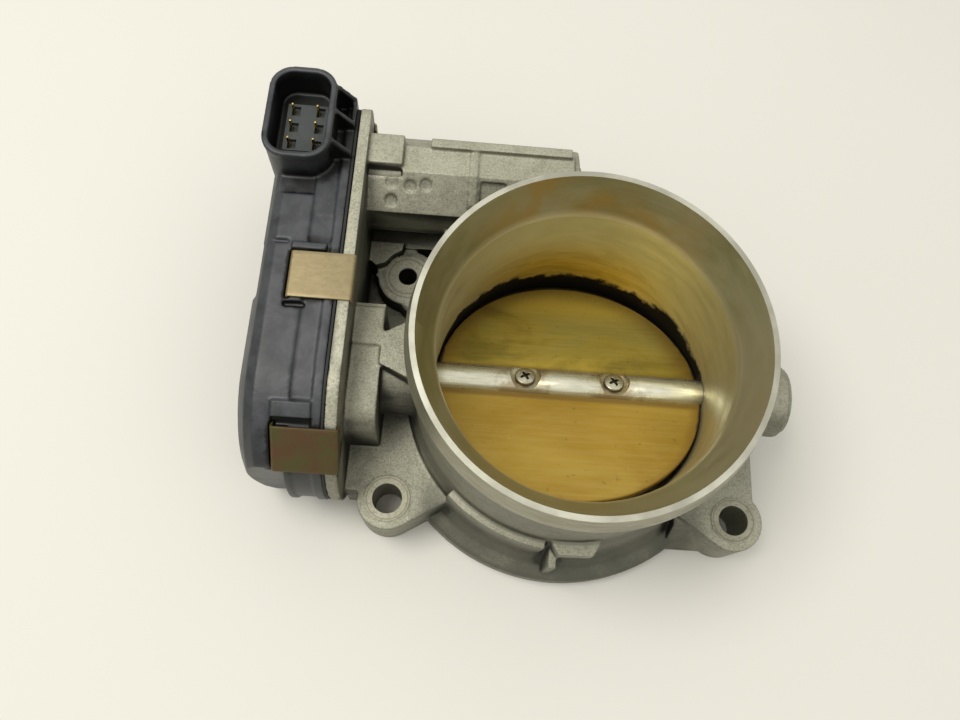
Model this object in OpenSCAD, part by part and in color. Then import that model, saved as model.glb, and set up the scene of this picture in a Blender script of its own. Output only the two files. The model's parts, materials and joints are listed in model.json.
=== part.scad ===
/* [Bore and inlet] */
// Diameter of the round passage at the throttle plate
bore_d = 87; // [80:0.5:92]
// Height from the manifold face to the inlet rim
body_h = 76; // [70:0.5:82]
// Outside diameter of the rim's flat top
rim_d = 101.6; // [98:0.2:106]
// Radial width of the machined rim
rim_w = 1.6; // [1:0.1:3]
// Height at which the inlet taper reaches the bore
throat_z = 64; // [58:0.5:68]
// Diameter of the hose neck below the bead
neck_d = 100.8; // [98:0.2:104]
// Largest diameter of the hose bead
bead_d = 104.6; // [103:0.2:108]
// Diameter of the neck's foot and of the cast ledge on it
bench_d = 106.8; // [104:0.2:112]
// Height of the cast ledge
bench_h = 30; // [24:0.5:34]

/* [Manifold flange and lugs] */
// Diameter of the manifold flange
flange_d = 121; // [116:0.5:126]
// Height of the flange's upright edge
flange_h = 6.5; // [5:0.5:9]
// Hole spacing along the throttle shaft
lug_dx = 112; // [106:0.5:116]
// Hole spacing across the throttle shaft
lug_dy = 78; // [74:0.5:82]
// Diameter of the shallow relief at the outlet
outlet_d = 88; // [87.2:0.2:90]
// Depth of the outlet relief
outlet_h = 8; // [4:0.5:9]
// Height of the lugs' top faces
lug_h = 19.3; // [15:0.1:24]
// Outside diameter of a lug
lug_d = 19.6; // [17:0.2:22]
// Diameter of the two front holes
front_hole_d = 9.6; // [8:0.1:10.5]
// Diameter of the two rear holes
rear_hole_d = 6.6; // [6:0.1:8]

/* [Throttle] */
// Height of the throttle shaft's axis
shaft_z = 28; // [27:0.5:32]
// Diameter of the throttle shaft
shaft_d = 9.9; // [8:0.1:11]
// Thickness of the throttle plate
plate_t = 2.4; // [1.8:0.1:3]
// Gap between the plate's edge and the bore
plate_gap = 0.3; // [0.3:0.05:0.6]
// Angle the plate rests at, from straight across the bore
rest_angle = 20; // [10:1:28]
// Distance between the two plate screws
screw_pitch = 29; // [24:0.5:36]

/* [Gear train] */
// Teeth on the motor's pinion
pinion_teeth = 13; // [11:1:16]
// Teeth on the intermediate gear's wheel
wheel_teeth = 60; // [50:1:60]
// Module of the motor's pinion and the wheel
fast_module = 0.8; // [0.7:0.05:0.8]
// Teeth on the intermediate gear's small pinion
idler_teeth = 28; // [26:1:30]
// Teeth a full circle of the sector gear would have
sector_teeth = 46; // [40:1:46]
// Module of the small pinion and the sector gear
slow_module = 1; // [0.8:0.05:1]
// Direction from the shaft to the intermediate gear, above level
slow_angle = 3.4; // [2.5:0.1:3.8]
// Direction from the intermediate gear to the motor, above level
fast_angle = 11.5; // [8:0.5:14]

/* [Gear housing] */
// Where the aluminium side plate faces the bore
plate_x = -70; // [-72:0.5:-68]
// Thickness of the aluminium side plate
side_t = 3.8; // [3:0.1:5]
// Radius of the rounded end of the gear housing
case_r = 33; // [31:0.5:35]
// Far end of the gear housing
case_end = 81.5; // [78:0.5:86]
// Lowest edge of the gear housing
case_low = 1.5; // [1:0.5:4]
// Outer face of the plastic cover
cover_x = -98.5; // [-102:0.5:-96]
// Extra depth of the cover's bulge over the sector gear
bulge = 2.5; // [0:0.5:4]
// Wall thickness of the plastic cover
cover_wall = 2.2; // [1.8:0.1:2.2]

/* [Motor] */
// Outside diameter of the motor's steel case
motor_d = 27; // [25:0.5:27.5]
// Wall thickness of the cast motor housing
motor_wall = 1.8; // [1.4:0.1:2.2]
// End of the cast motor housing furthest from the gears
motor_end = -1; // [-6:0.5:4]

/* [Connector] */
// Width of the connector's mouth
plug_w = 20.2; // [18:0.2:26]
// Length of the connector's mouth
plug_l = 31.8; // [26:0.2:34]
// Height of the connector's rim
plug_top = 68; // [62:0.5:74]
// Distance between the two rows of terminals
pin_dx = 7.8; // [6:0.2:9]
// Distance between terminals in a row
pin_dy = 6.1; // [5:0.1:7]

/* [Output] */
// Sub-part to show

/* [Hidden] */
$fn = 96;
eps = 0.02;
fit_gap = 0.04;
bore_r = bore_d / 2;
rim_r = rim_d / 2;
neck_r = neck_d / 2;
bead_r = bead_d / 2;
bench_r = bench_d / 2;
flange_r = flange_d / 2;
lug_x = lug_dx / 2;
lug_y = lug_dy / 2;
shaft_r = shaft_d / 2;
plate_r = bore_r - plate_gap;

// Side plate, cover and the outline they share, seen along the shaft
face_x = plate_x - side_t;
gasket_t = 0.8;
cover_face = face_x - gasket_t;
case_y = -8;
case_z = case_low + 23;
case_top = case_z + case_r;
case_corner = 4;
inner_x = cover_x + cover_wall;
bulge_x = cover_x - bulge;
flange_x = -86;
shell_near = -36;
rebate_x0 = -84;
rebate_x1 = -77.4;
rebate_in = 0.7;

// Shaft bores, from the main bore outwards
bearing_r = 7.5;
bearing_in = 48.5;
bearing_l = 9.8;
seal_t = 2.8;
seat_out = bearing_in + bearing_l + seal_t + 0.2;
pocket_r = 13.5;
boss_end = 70.2;
plug_r = 9;
plug_seat = boss_end - 4;
shaft_left = -88;
shaft_right = 61;

// Gear centres and layers, counted outwards from the side plate
sector_pr = sector_teeth * slow_module / 2;
idler_pr = idler_teeth * slow_module / 2;
wheel_pr = wheel_teeth * fast_module / 2;
pinion_pr = pinion_teeth * fast_module / 2;
slow_c = sector_pr + idler_pr;
fast_c = wheel_pr + pinion_pr;
idler_y = slow_c * cos(slow_angle);
idler_z = shaft_z + slow_c * sin(slow_angle);
motor_y = idler_y + fast_c * cos(fast_angle);
motor_z = idler_z + fast_c * sin(fast_angle);
pressure_angle = 20;
addendum = 0.9;
dedendum = 1.2;
slack = 0.12;
sector_x = -80.6;
sector_w = 5.2;
idler_x = -81.8;
idler_w = 6.1;
wheel_x = -87;
wheel_w = 5.2;
pinion_x = -88;
pinion_w = 6.6;
pin_r = 2.5;
pin_end = plate_x - 0.4;
pin_out = -93;

// Motor
motor_r = motor_d / 2;
can_t = 1.2;
can_end = -8;
can_open = -72;
bracket_t = 1.4;
mshaft_r = 1.6;
mshaft_out = -88.6;
magnet_in = 9.7;
armature_r = 9.2;
winding_r = 7.2;
bush_r = 4;
screw_ring_r = motor_r + 5;
motor_screw_angles = [140, 285];
lead_y = motor_y + 7;
lead_dz = 4;
commutator_r = 4;
motor_hole_r = motor_r + 0.3;
housing_r = motor_hole_r + motor_wall;
panel_z = 53;
crease_y = 60.5;
slope_angle = 40.6;

// Connector
plug_x = -90.4;
plug_y = 69.5;
plug_wall = 1.6;
plug_low = 47;
socket_z = 57.3;
insert_w = 13.3;
insert_l = 17;
insert_top = 60.3;
blade_w = 1.5;
blade_t = 0.64;
pin_at = [for (x = [-0.5, 0.5], y = [-1:1]) [plug_x + 0.3 + x * pin_dx, plug_y - 0.6 + y * pin_dy]];

// Sensor board
board_x = -92.6;
board_t = 1.6;

// Clip sizes
clip_w = 15;
clip_t = 0.7;
clip_leg = 2.2;
clip_x0 = -88.9;
clip_x1 = plate_x + 0.8;

// Clips sit on the outline: angle of the outward normal and foot point in (Y, Z)
clip_angles = [
    [90, 19.5, case_top],
    [135, case_y - case_r * cos(45), case_z + case_r * cos(45)],
    [0, case_end, 39.2],
    [270, 30, case_low],
    [270, 64, case_low]
];

// Screws that hold the plate, measured from the shaft's axis
screw_seat = 2.6;
screw_head_r = 3.3;
screw_bore_r = 5;
screw_shank_r = 1.9;

// Return spring
coil_r = 10.9;
wire_r = 0.8;
coil_x0 = -72.4;
coil_x1 = -64.4;
coil_turns = 4;
ring_n = 8;
step_n = 24 * coil_turns;
inner_leg = 11;
outer_leg = 5;

// ---------- helpers ----------

// Stands a flat shape drawn in (Y, Z) up and gives it depth along the shaft
module along_x(x0, x1) {
    translate([x0, 0, 0])
        rotate([90, 0, 90])
            linear_extrude(x1 - x0)
                children();
}

// Round bar along the shaft direction
module bar_x(x0, x1, r, y = 0, z = shaft_z) {
    translate([x0, y, z])
        rotate([0, 90, 0])
            cylinder(h = x1 - x0, r = r);
}

// Ring along the shaft direction
module ring_x(x0, x1, r_out, r_in, y = 0, z = shaft_z) {
    difference() {
        bar_x(x0, x1, r_out, y, z);
        bar_x(x0 - 1, x1 + 1, r_in, y, z);
    }
}

// Box given by its low corner and high corner
module span(lo, hi) {
    translate(lo)
        cube(hi - lo);
}

// Outline of the gear housing in (Y, Z), moved inwards by i
module case_outline(i) {
    r = case_corner - min(i, case_corner - 1);
    hi_y = case_end - i;
    lo_z = case_low + i;
    hi_z = case_top - i;
    translate([case_y, case_z])
        circle(r = case_r - i);
    translate([case_y, lo_z])
        square([hi_y - r - case_y, hi_z - lo_z]);
    translate([case_y, lo_z + r])
        square([hi_y - case_y, hi_z - lo_z - 2 * r]);
    for (z = [lo_z + r, hi_z - r])
        translate([hi_y - r, z])
            circle(r = r);
}

// Rounded rectangle centred on the origin
module rounded(w, l, r) {
    square([w - 2 * r, l], center = true);
    square([w, l - 2 * r], center = true);
    for (x = [-1, 1], y = [-1, 1])
        translate([x * (w / 2 - r), y * (l / 2 - r)])
            circle(r = r);
}

// ---------- gear teeth ----------

// Point on an involute of base radius rb after a roll of t degrees
function involute(rb, t) = [
    rb * (cos(t) + t * PI / 180 * sin(t)),
    rb * (sin(t) - t * PI / 180 * cos(t))
];

function roll_at(rb, r) = r <= rb ? 0 : sqrt(r * r / (rb * rb) - 1) * 180 / PI;

function turned(p, a) = [p[0] * cos(a) - p[1] * sin(a), p[0] * sin(a) + p[1] * cos(a)];

function polar_angle(p) = atan2(p[1], p[0]);

// Right flank of one tooth centred on angle 0, from root to tip
function flank(m, z) =
    let (
        pr = m * z / 2,
        rb = pr * cos(pressure_angle),
        tip = pr + addendum * m,
        root = pr - dedendum * m,
        half = 90 / z - slack / pr * 180 / PI,
        at_pitch = polar_angle(involute(rb, roll_at(rb, pr))),
        low = max(rb, root),
        steps = 4
    )
    concat(
        root < rb ? [turned([root, 0], -half - at_pitch + 0.6 * half)] : [],
        [for (i = [0:steps])
            turned(involute(rb, roll_at(rb, low + (tip - low) * i / steps)), -half - at_pitch)]
    );

function mirrored(pts) = [for (i = [len(pts) - 1:-1:0]) [pts[i][0], -pts[i][1]]];

// Closed outline of teeth first..last, with the first tooth centred on angle a
function tooth_ring(m, z, first, last, a) = [
    for (i = [first:last])
        for (p = concat(flank(m, z), mirrored(flank(m, z))))
            turned(p, a + i * 360 / z)
];

module full_gear(m, z, a) {
    polygon(tooth_ring(m, z, 0, z - 1, a));
}

// ---------- throttle housing ----------

module body_solid() {
    rotate_extrude()
        polygon([
            [0, 0], [flange_r, 0], [flange_r, flange_h], [flange_r - 0.9, flange_h + 0.9],
            [bench_r + 2.4, flange_h + 2.6], [bench_r + 0.7, flange_h + 5], [bench_r - 0.4, flange_h + 9],
            [neck_r + 0.8, bench_h - 3], [neck_r, bench_h + 2],
            [neck_r, body_h - 10.4], [bead_r - 0.5, body_h - 8.6], [bead_r, body_h - 8.1],
            [bead_r, body_h - 7.3], [rim_r, body_h], [0, body_h]
        ]);
}

// Cast ledge on the foot of the neck, between the front left lug and the tab
module bench_ledge() {
    from = -134;
    to = -97;
    steps = 6;
    intersection() {
        translate([0, 0, flange_h])
            cylinder(h = bench_h - flange_h, r = bench_r);
        web(0, bench_h + 1, concat(
            [[0, 0]],
            [for (i = [0:steps])
                let (a = from + (to - from) * i / steps)
                1.2 * bench_r * [cos(a), sin(a)]]
        ));
    }
}

module bore_cut() {
    rim_in = rim_r - rim_w;
    rotate_extrude()
        polygon([
            [0, -1], [outlet_d / 2, -1], [outlet_d / 2, outlet_h], [bore_r, outlet_h + 0.6],
            [bore_r, throat_z - 1.5], [bore_r + 0.5, throat_z + 0.4],
            [rim_in, body_h], [rim_in, body_h + 1], [0, body_h + 1]
        ]);
}

module lug(sx, sy, d) {
    ring_h = 0.5;
    ring_in = 2.6;
    translate([sx * lug_x, sy * lug_y, 0]) {
        cylinder(h = lug_h, r = d / 2);
        cylinder(h = lug_h + ring_h, r = d / 2 - ring_in);
    }
}

// Flat cast web between two heights, drawn in plan
module web(z0, z1, pts) {
    translate([0, 0, z0])
        linear_extrude(z1 - z0)
            polygon(pts);
}

module lugs_and_webs() {
    in_x = 20;
    lug(-1, -1, lug_d);
    lug(1, -1, lug_d);
    lug(-1, 1, lug_d + 1.4);
    lug(1, 1, lug_d + 1.4);
    // Broad web from the front left lug to the side plate
    web(0, lug_h, [
        [-lug_x + 5.1, -lug_y - 8.4], [-33, -36.5], [-in_x, -in_x], [-45, 0],
        [plate_x, -15], [plate_x, -lug_y + 2], [-lug_x - 9.3, -lug_y + 2]
    ]);
    // Front right web, with its sloping front
    web(0, lug_h, [
        [lug_x - 5.5, -lug_y - 8.1], [36, -37], [in_x, -in_x], [45, 0],
        [63, -4], [63, -lug_y], [lug_x, -lug_y]
    ]);
    along_x(37, lug_x - 5)
        polygon([
            [-36, 0], [-lug_y - 8, 0], [-lug_y - 8, 2], [-lug_y - 2.5, lug_h - 1.5], [-36, lug_h - 1.5]
        ]);
    // Rear webs, the left one pointed and waisted behind the lug
    for (side = [-1, 1])
        web(0, lug_h - 0.8, [
            [side * (lug_x + 8), lug_y - 4.6], [side * 50, 21], [side * in_x, in_x],
            [side * 26, 45], [side * (lug_x - 6), lug_y + 8.6], [side * (lug_x - 1), lug_y + 10]
        ]);
    for (side = [-1, 1])
        web(0, lug_h, [
            [side * (lug_x + 11.6), lug_y], [side * (lug_x + 8.6), lug_y - 2.6],
            [side * (lug_x - 2), lug_y - 13], [side * (lug_x - 10), lug_y - 10],
            [side * (lug_x - 9), lug_y + 1], [side * (lug_x - 5.5), lug_y + 6.4],
            [side * (lug_x - 1.9), lug_y + 10], [side * (lug_x - 1.7), lug_y + 12.4],
            [side * (lug_x - 3), lug_y + 15], [side * (lug_x + 3.2), lug_y + 15],
            [side * (lug_x + 1.5), lug_y + 12.4], [side * (lug_x + 1.8), lug_y + 10],
            [side * (lug_x + 8.6), lug_y + 5.2]
        ]);
    web(0, lug_h, [[63, 4], [63, lug_y], [lug_x, lug_y], [45, 20], [45, 4]]);
}

module neck_tabs() {
    tab_y = -flange_r + 5.7;
    tab_top = bench_h + 2;
    // Tapered tab standing on the front of the bench, and the rib under it
    web(bench_h - 4, tab_top, [[-6.9, -47], [-2.5, tab_y], [8.2, tab_y + 0.3], [12.4, -47]]);
    span([-4.9, tab_y - 3.4, 2], [-2.2, -46, bench_h - 4 + eps]);
}

module shaft_bosses() {
    block_top = shaft_z + 15;
    block_in = -60.2;
    block_near = -22;
    block_far = 18;
    edge_r = 8;
    block_low = 12;
    left_boss_r = 13;
    right_boss_r = 12;
    rim_step = 1.4;
    // Block around the left bearing and the return spring
    along_x(plate_x - eps, block_in) {
        translate([block_near + edge_r, block_low])
            square([block_far - block_near - edge_r, block_top - block_low]);
        translate([block_near, block_low])
            square([edge_r + 1, block_top - block_low - edge_r]);
        translate([block_near + edge_r, block_top - edge_r])
            circle(r = edge_r);
    }
    // Plain raised pad on the block
    span([plate_x + 0.6, 4, block_top - 1], [block_in - 0.2, 16.6, block_top + 0.9]);
    bar_x(block_in - 2, -44, left_boss_r);
    // Flared facet between the block and the neck
    web(shaft_z, block_top + 1, [
        [block_in - 0.6, 8.2], [-51.5, 13.4], [-46, 14], [-46, -7.6], [-51, -6.4], [block_in - 0.6, -2]
    ]);
    // Plain boss at the far end of the shaft
    bar_x(44, boss_end - rim_step, right_boss_r);
    bar_x(boss_end - rim_step - eps, boss_end - eps, right_boss_r - 1.1);
}

module motor_housing() {
    front = 50;
    front_z = 44.5;
    far = 70;
    // Tube around the motor
    bar_x(plate_x - eps, motor_end, housing_r, motor_y, motor_z);
    // Sloping front panel and flat top
    along_x(plate_x - eps, motor_end - 2)
        polygon([
            [front, motor_z - 2], [front, front_z], [crease_y, panel_z], [far, panel_z],
            [motor_y + housing_r - 3, motor_z + 9], [motor_y, motor_z]
        ]);
    // Box lug beside the side plate
    span([plate_x - eps, 61.6, motor_z + 6], [-58.6, far + 2.6, panel_z + 2]);
    // Raised strip along the far edge
    span([-50, far - 0.6, motor_z + 10], [motor_end - 3, far + 2.6, panel_z + 1.6]);
    // Cross rib over the slope and the flat
    along_x(-37, -34.4)
        polygon([
            [52.5, motor_z], [52.5, 47.3], [crease_y, panel_z + 0.7], [far, panel_z + 0.7], [far, motor_z]
        ]);
    // Webs between the flange and the tube
    for (x = [-44, -26, -8])
        span([x, 35, 3], [x + 4, motor_y - 4, motor_z]);
    // Cast floor that joins the flange, the side plate and the motor tube
    span([plate_x - eps, 14, 3], [-8, motor_y - 4, 12]);
    // Shelf beside the rear left lug
    web(5, 22.5, [
        [plate_x - eps, 50.5], [plate_x - eps, 43.4], [-67.4, 41.2], [-64, 42.6],
        [-61.4, 46], [-58.6, 47.5], [-58, 50.5]
    ]);
    // Ledge under the sloping panel
    span([plate_x - eps, 50, 5], [-20, motor_y, 20]);
    // Step at the plain end
    bar_x(motor_end - eps, motor_end + 1.6, housing_r - 5, motor_y, motor_z);
}

module motor_cuts() {
    mark_r = 2.1;
    mark_h = 0.3;
    bar_x(face_x - 1, can_end + 0.6, motor_hole_r, motor_y, motor_z);
    bar_x(can_end - 1, can_end + 3.4, 5.4, motor_y, motor_z);
    // Slot in front of the box lug
    span([plate_x, 59, panel_z - 2], [-58.8, 61.6, panel_z + 3]);
    // Sunken window on the slope
    translate([0, crease_y, panel_z])
        rotate([slope_angle, 0, 0])
            span([-33.4, -9.5, -0.7], [-25, -1.6, 2]);
    // Round ejector marks on the slope
    translate([0, crease_y, panel_z])
        rotate([slope_angle, 0, 0])
            for (p = [[-62, -3.6], [-56, -4.6], [-62, -9.6], [-51, -3.9]])
                translate([p[0], p[1], -mark_h])
                    cylinder(h = 2, r = mark_r);
}

module throttle_housing() {
    screw_r = 1.7;
    color("silver")
        difference() {
            union() {
                body_solid();
                bench_ledge();
                lugs_and_webs();
                neck_tabs();
                shaft_bosses();
                motor_housing();
                along_x(face_x, plate_x)
                    case_outline(0);
            }
            bore_cut();
            for (x = [-lug_x, lug_x]) {
                translate([x, -lug_y, -1])
                    cylinder(h = lug_h + 4, r = front_hole_d / 2);
                translate([x, lug_y, -1])
                    cylinder(h = lug_h + 4, r = rear_hole_d / 2);
            }
            // Shaft passage, bearing seats, spring pocket and end plug seat
            bar_x(-bearing_in - 1, bearing_in + 1, shaft_r + 0.35);
            bar_x(-seat_out, -bearing_in, bearing_r);
            bar_x(bearing_in, plug_seat, bearing_r);
            bar_x(plug_seat, boss_end + 1, plug_r);
            bar_x(face_x - 1, -seat_out + eps, pocket_r);
            // Notch that holds the fixed leg of the return spring
            span([-66, 0, shaft_z - coil_r - 1.3], [-63, inner_leg + 1, shaft_z - coil_r + 1.3]);
            bar_x(face_x - 1, pin_end, pin_r, idler_y, idler_z);
            motor_cuts();
            // Relief for the legs of the cover clips
            for (a = clip_angles)
                clip_frame(a)
                    span([plate_x, -clip_w / 2 - 0.4, -clip_leg - 0.3], [clip_x1 + 0.4, clip_w / 2 + 0.4, 2]);
            for (a = motor_screw_angles)
                bar_x(face_x - 1, plate_x - 0.6, screw_r,
                    motor_y + screw_ring_r * cos(a), motor_z + screw_ring_r * sin(a));
        }
}

// ---------- gear cover ----------

// Plan shape of the cover, in (X, Y)
module cover_plan() {
    step_y = 13.5;
    polygon([
        [cover_face, -45], [flange_x, -45], [flange_x, shell_near], [bulge_x, shell_near],
        [bulge_x, step_y - 1], [bulge_x + 0.6, step_y],
        [cover_x, step_y], [cover_x, 30.5], [cover_x - 0.4, 31], [cover_x - 0.4, 66],
        [cover_x + 1, case_end + 1], [cover_face, case_end + 1]
    ]);
}

// Half-height of the cover against X, with a broad rounded outer edge; t moves it inwards
function cover_profile(t) = [
    [case_r + 2 - t, cover_face + 1], [case_r + 2 - t, cover_x + 6], [case_r - t, cover_x + 4.5 + t],
    [case_r - 2 - t, cover_x + 1.4 + t], [case_r - 4.8 - t, cover_x - 0.2 + t],
    [case_r - 7.4 - t, cover_x - 1.5 + t], [case_r - 11 - t, bulge_x + t]
];

// Solid that gives the cover its rounded outer edge, round about the near end and straight beyond it
module cover_envelope(t) {
    profile = cover_profile(t);
    last = len(profile) - 1;
    far_z = case_low + case_top - case_z;
    translate([0, case_y, case_z])
        rotate([0, -90, 0])
            rotate_extrude()
                polygon(concat(
                    [for (p = profile) [p[0], -p[1]]],
                    [[0, -profile[last][1]], [0, -profile[0][1]]]
                ));
    translate([0, case_end + 2, 0])
        rotate([90, 0, 0])
            linear_extrude(case_end + 2 - case_y)
                polygon(concat(
                    [for (p = profile) [p[1], case_z + p[0]]],
                    [for (i = [last:-1:0]) [profile[i][1], far_z - profile[i][0]]]
                ));
}

// Cavity the gears and sensor turn in
module cover_cavity() {
    intersection() {
        along_x(inner_x, cover_face + 1)
            case_outline(cover_wall);
        cover_envelope(cover_wall);
        translate([0, 0, case_z - case_r])
            linear_extrude(2 * case_r)
                polygon([
                    [cover_face + 2, -45], [flange_x + cover_wall, -45],
                    [flange_x + cover_wall, shell_near + cover_wall], [inner_x - 1, shell_near + cover_wall],
                    [inner_x - 1, case_end], [cover_face + 2, case_end]
                ]);
    }
}

// Body of the connector shroud, drawn around its own centre
module shroud_at(z0, z1, grow) {
    translate([plug_x, plug_y, z0])
        linear_extrude(z1 - z0)
            rounded(plug_w + 2 * grow, plug_l + 2 * grow, 7 + grow);
}

// Sloping fins and the latch bridge between the shroud and the cover's flange
module shroud_latch() {
    x0 = plug_x + plug_w / 2 - 0.6;
    fin_t = 1.5;
    for (y = [60.5, 71.3, 80])
        translate([0, y + fin_t, 0])
            rotate([90, 0, 0])
                linear_extrude(fin_t)
                    polygon([
                        [x0, plug_low + 5], [x0, plug_top - 1.5], [x0 + 1.6, plug_top - 2.5],
                        [cover_face, plug_top - 8], [cover_face, plug_low + 5]
                    ]);
    span([cover_face - 1.4, 71.3, plug_top - 14], [cover_face, 81.5, plug_top - 8]);
}

module cover_shell() {
    difference() {
        intersection() {
            union() {
                along_x(bulge_x - 1, rebate_x0)
                    case_outline(0);
                along_x(rebate_x0 - eps, rebate_x1)
                    case_outline(rebate_in);
                along_x(rebate_x1 - eps, cover_face)
                    case_outline(0);
            }
            translate([0, 0, case_z - case_r - 1])
                linear_extrude(2 * case_r + 2)
                    cover_plan();
            cover_envelope(0);
        }
        cover_cavity();
        // Sunken panels on the upper face
        span([cover_x - 2, 47, case_top - 1.2], [-84.6, 54, case_top + 1]);
        span([-84.6, 30.8, case_top - 0.8], [-83.6, 54, case_top + 1]);
        span([cover_x - 2, 29.6, case_top - 1], [-90, 31, case_top + 1]);
        span([-83.6, 31, case_top - 0.8], [-77.6, 40.4, case_top + 1]);
        // Narrow slot beside the clip
        span([-89.4, 9.2, case_top - 1.6], [-83, 10.8, case_top + 1]);
    }
}

// Bosses inside the cover: idler pin support, board posts and clip pockets
module cover_inside() {
    ring_x(inner_x - eps, -89, 5, pin_r + 0.1, idler_y, idler_z);
    for (y = [-15, 15])
        bar_x(inner_x - eps, board_x - board_t, 2.2, y, shaft_z);
    for (a = clip_angles)
        clip_frame(a)
            span([clip_x0 - 2, -clip_w / 2 - 1.4, -6.4], [clip_x0 + 1.4, clip_w / 2 + 1.4, -0.8]);
}

module gear_cover() {
    color("dimgray")
        difference() {
            union() {
                cover_shell();
                intersection() {
                    cover_inside();
                    along_x(bulge_x, cover_face)
                        case_outline(0.3);
                }
                difference() {
                    shroud_at(plug_low, plug_top, 0);
                    cover_cavity();
                }
                shroud_at(plug_top - 2.2, plug_top, 0.35);
                shroud_latch();
                // Raised frames behind the two upper clips
                clip_frame(clip_angles[0])
                    span([clip_x0, clip_w / 2 + 0.5, -1.6], [-78.5, clip_w / 2 + 2.9, 1.1]);
                intersection() {
                    bar_x(clip_x0, -77.6, case_r + 0.9, case_y, case_z);
                    clip_frame(clip_angles[1])
                        span([clip_x0 - 1, clip_w / 2 + 2.3, -6], [-77, clip_w / 2 + 6.9, 2]);
                }
            }
            // Recess between the near clip and its frame
            clip_frame(clip_angles[1])
                span([clip_x0, clip_w / 2 - 0.6, -2], [-77.6, clip_w / 2 + 2.3, 2]);
            shroud_at(socket_z, plug_top + 1, -plug_wall);
            for (p = pin_at)
                translate([p[0], p[1], socket_z])
                    cube([blade_t, blade_w, 8], center = true);
            for (a = clip_angles)
                clip_frame(a)
                    span([clip_x0 - 0.4, -clip_w / 2 - 0.4, -5.2],
                        [clip_x0 + clip_t + 0.4, clip_w / 2 + 0.4, 2]);
        }
}

// Moves children so that their Z is the outward normal at a clip
module clip_frame(a) {
    translate([0, a[1], a[2]])
        rotate([a[0] - 90, 0, 0])
            children();
}

// U-shaped spring clip: flat bridge and two legs
module clip() {
    half = clip_w / 2;
    span([clip_x0, -half, 0.05], [clip_x1, half, 0.05 + clip_t]);
    span([clip_x0, -half, -4.6], [clip_x0 + clip_t, half, 0.05 + clip_t]);
    span([clip_x1 - clip_t, -half, -clip_leg], [clip_x1, half, 0.05 + clip_t]);
}

module cover_clips() {
    color("darkkhaki")
        for (a = clip_angles)
            clip_frame(a)
                clip();
}

module cover_gasket() {
    color("black")
        along_x(cover_face, face_x)
            difference() {
                case_outline(0.3);
                case_outline(2.1);
            }
}

// ---------- connector and electrics ----------

module connector_insert() {
    pocket_w = 2.6;
    pocket_l = 3.4;
    color("slategray")
        difference() {
            translate([plug_x + 1.1, plug_y - 0.8, (socket_z + insert_top) / 2])
                cube([insert_w, insert_l, insert_top - socket_z], center = true);
            for (p = pin_at) {
                translate([p[0] + 0.8, p[1] - 0.4, insert_top])
                    cube([pocket_w, pocket_l, 3], center = true);
                translate([p[0], p[1], insert_top])
                    cube([blade_t, blade_w, 12], center = true);
            }
        }
}

// One blade terminal with a tapered tip
module terminal() {
    tip_z = 63.5;
    foot_z = 51;
    along_x(-blade_t / 2, blade_t / 2)
        polygon([
            [-blade_w / 2, foot_z], [blade_w / 2, foot_z], [blade_w / 2, tip_z - 1.4],
            [0.3, tip_z], [-0.3, tip_z], [-blade_w / 2, tip_z - 1.4]
        ]);
}

module connector_terminals() {
    color("gold")
        for (p = pin_at)
            translate([p[0], p[1], 0])
                terminal();
}

// Strips on the cover's inner face, each ending in a socket for one motor terminal
module lead_frame() {
    strip_t = 0.8;
    socket_l = 8;
    color("peru")
        for (s = [-1, 1]) {
            z = motor_z + s * lead_dz;
            run_y = s > 0 ? lead_y - 1.2 : lead_y + 1.7;
            span([inner_x, run_y, z - 2], [inner_x + strip_t, run_y + 2.2, 49]);
            span([inner_x, lead_y - 1.2, z - 2], [inner_x + strip_t, run_y + 2.2, z + 2]);
            for (y = [lead_y - 1.2, lead_y + 0.4])
                span([inner_x, y, z - 2], [inner_x + socket_l, y + 0.8, z + 2]);
        }
}

module sensor_board() {
    color("darkgreen")
        difference() {
            span([board_x - board_t, -21, shaft_z - 17], [board_x, 21, shaft_z + 20]);
            bar_x(board_x - 3, board_x + 1, 2.6);
        }
}

// ---------- bearings, seal, plug and pins ----------

module left_bearing() {
    color("lightsteelblue")
        ring_x(-bearing_in - bearing_l, -bearing_in, bearing_r, shaft_r + fit_gap);
}

module right_bearing() {
    color("lightsteelblue")
        ring_x(bearing_in, bearing_in + bearing_l, bearing_r, shaft_r + fit_gap);
}

module shaft_seal() {
    color("black")
        ring_x(-seat_out + 0.1, -bearing_in - bearing_l, bearing_r, shaft_r + fit_gap);
}

module shaft_end_plug() {
    color("gainsboro")
        difference() {
            bar_x(plug_seat, boss_end - 0.8, plug_r);
            bar_x(plug_seat + 1, boss_end, plug_r - 1);
        }
}

module idler_pin() {
    color("lightgray")
        bar_x(pin_out, pin_end, pin_r, idler_y, idler_z);
}

// ---------- motor ----------

module motor_case() {
    color("lightgray") {
        ring_x(can_open, can_end, motor_r, motor_r - can_t, motor_y, motor_z);
        difference() {
            bar_x(can_end - can_t, can_end, motor_r - can_t + eps, motor_y, motor_z);
            bar_x(can_end - 3, can_end + 1, bush_r, motor_y, motor_z);
        }
        ring_x(can_end - eps, can_end + 3, 5, bush_r, motor_y, motor_z);
    }
}

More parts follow.
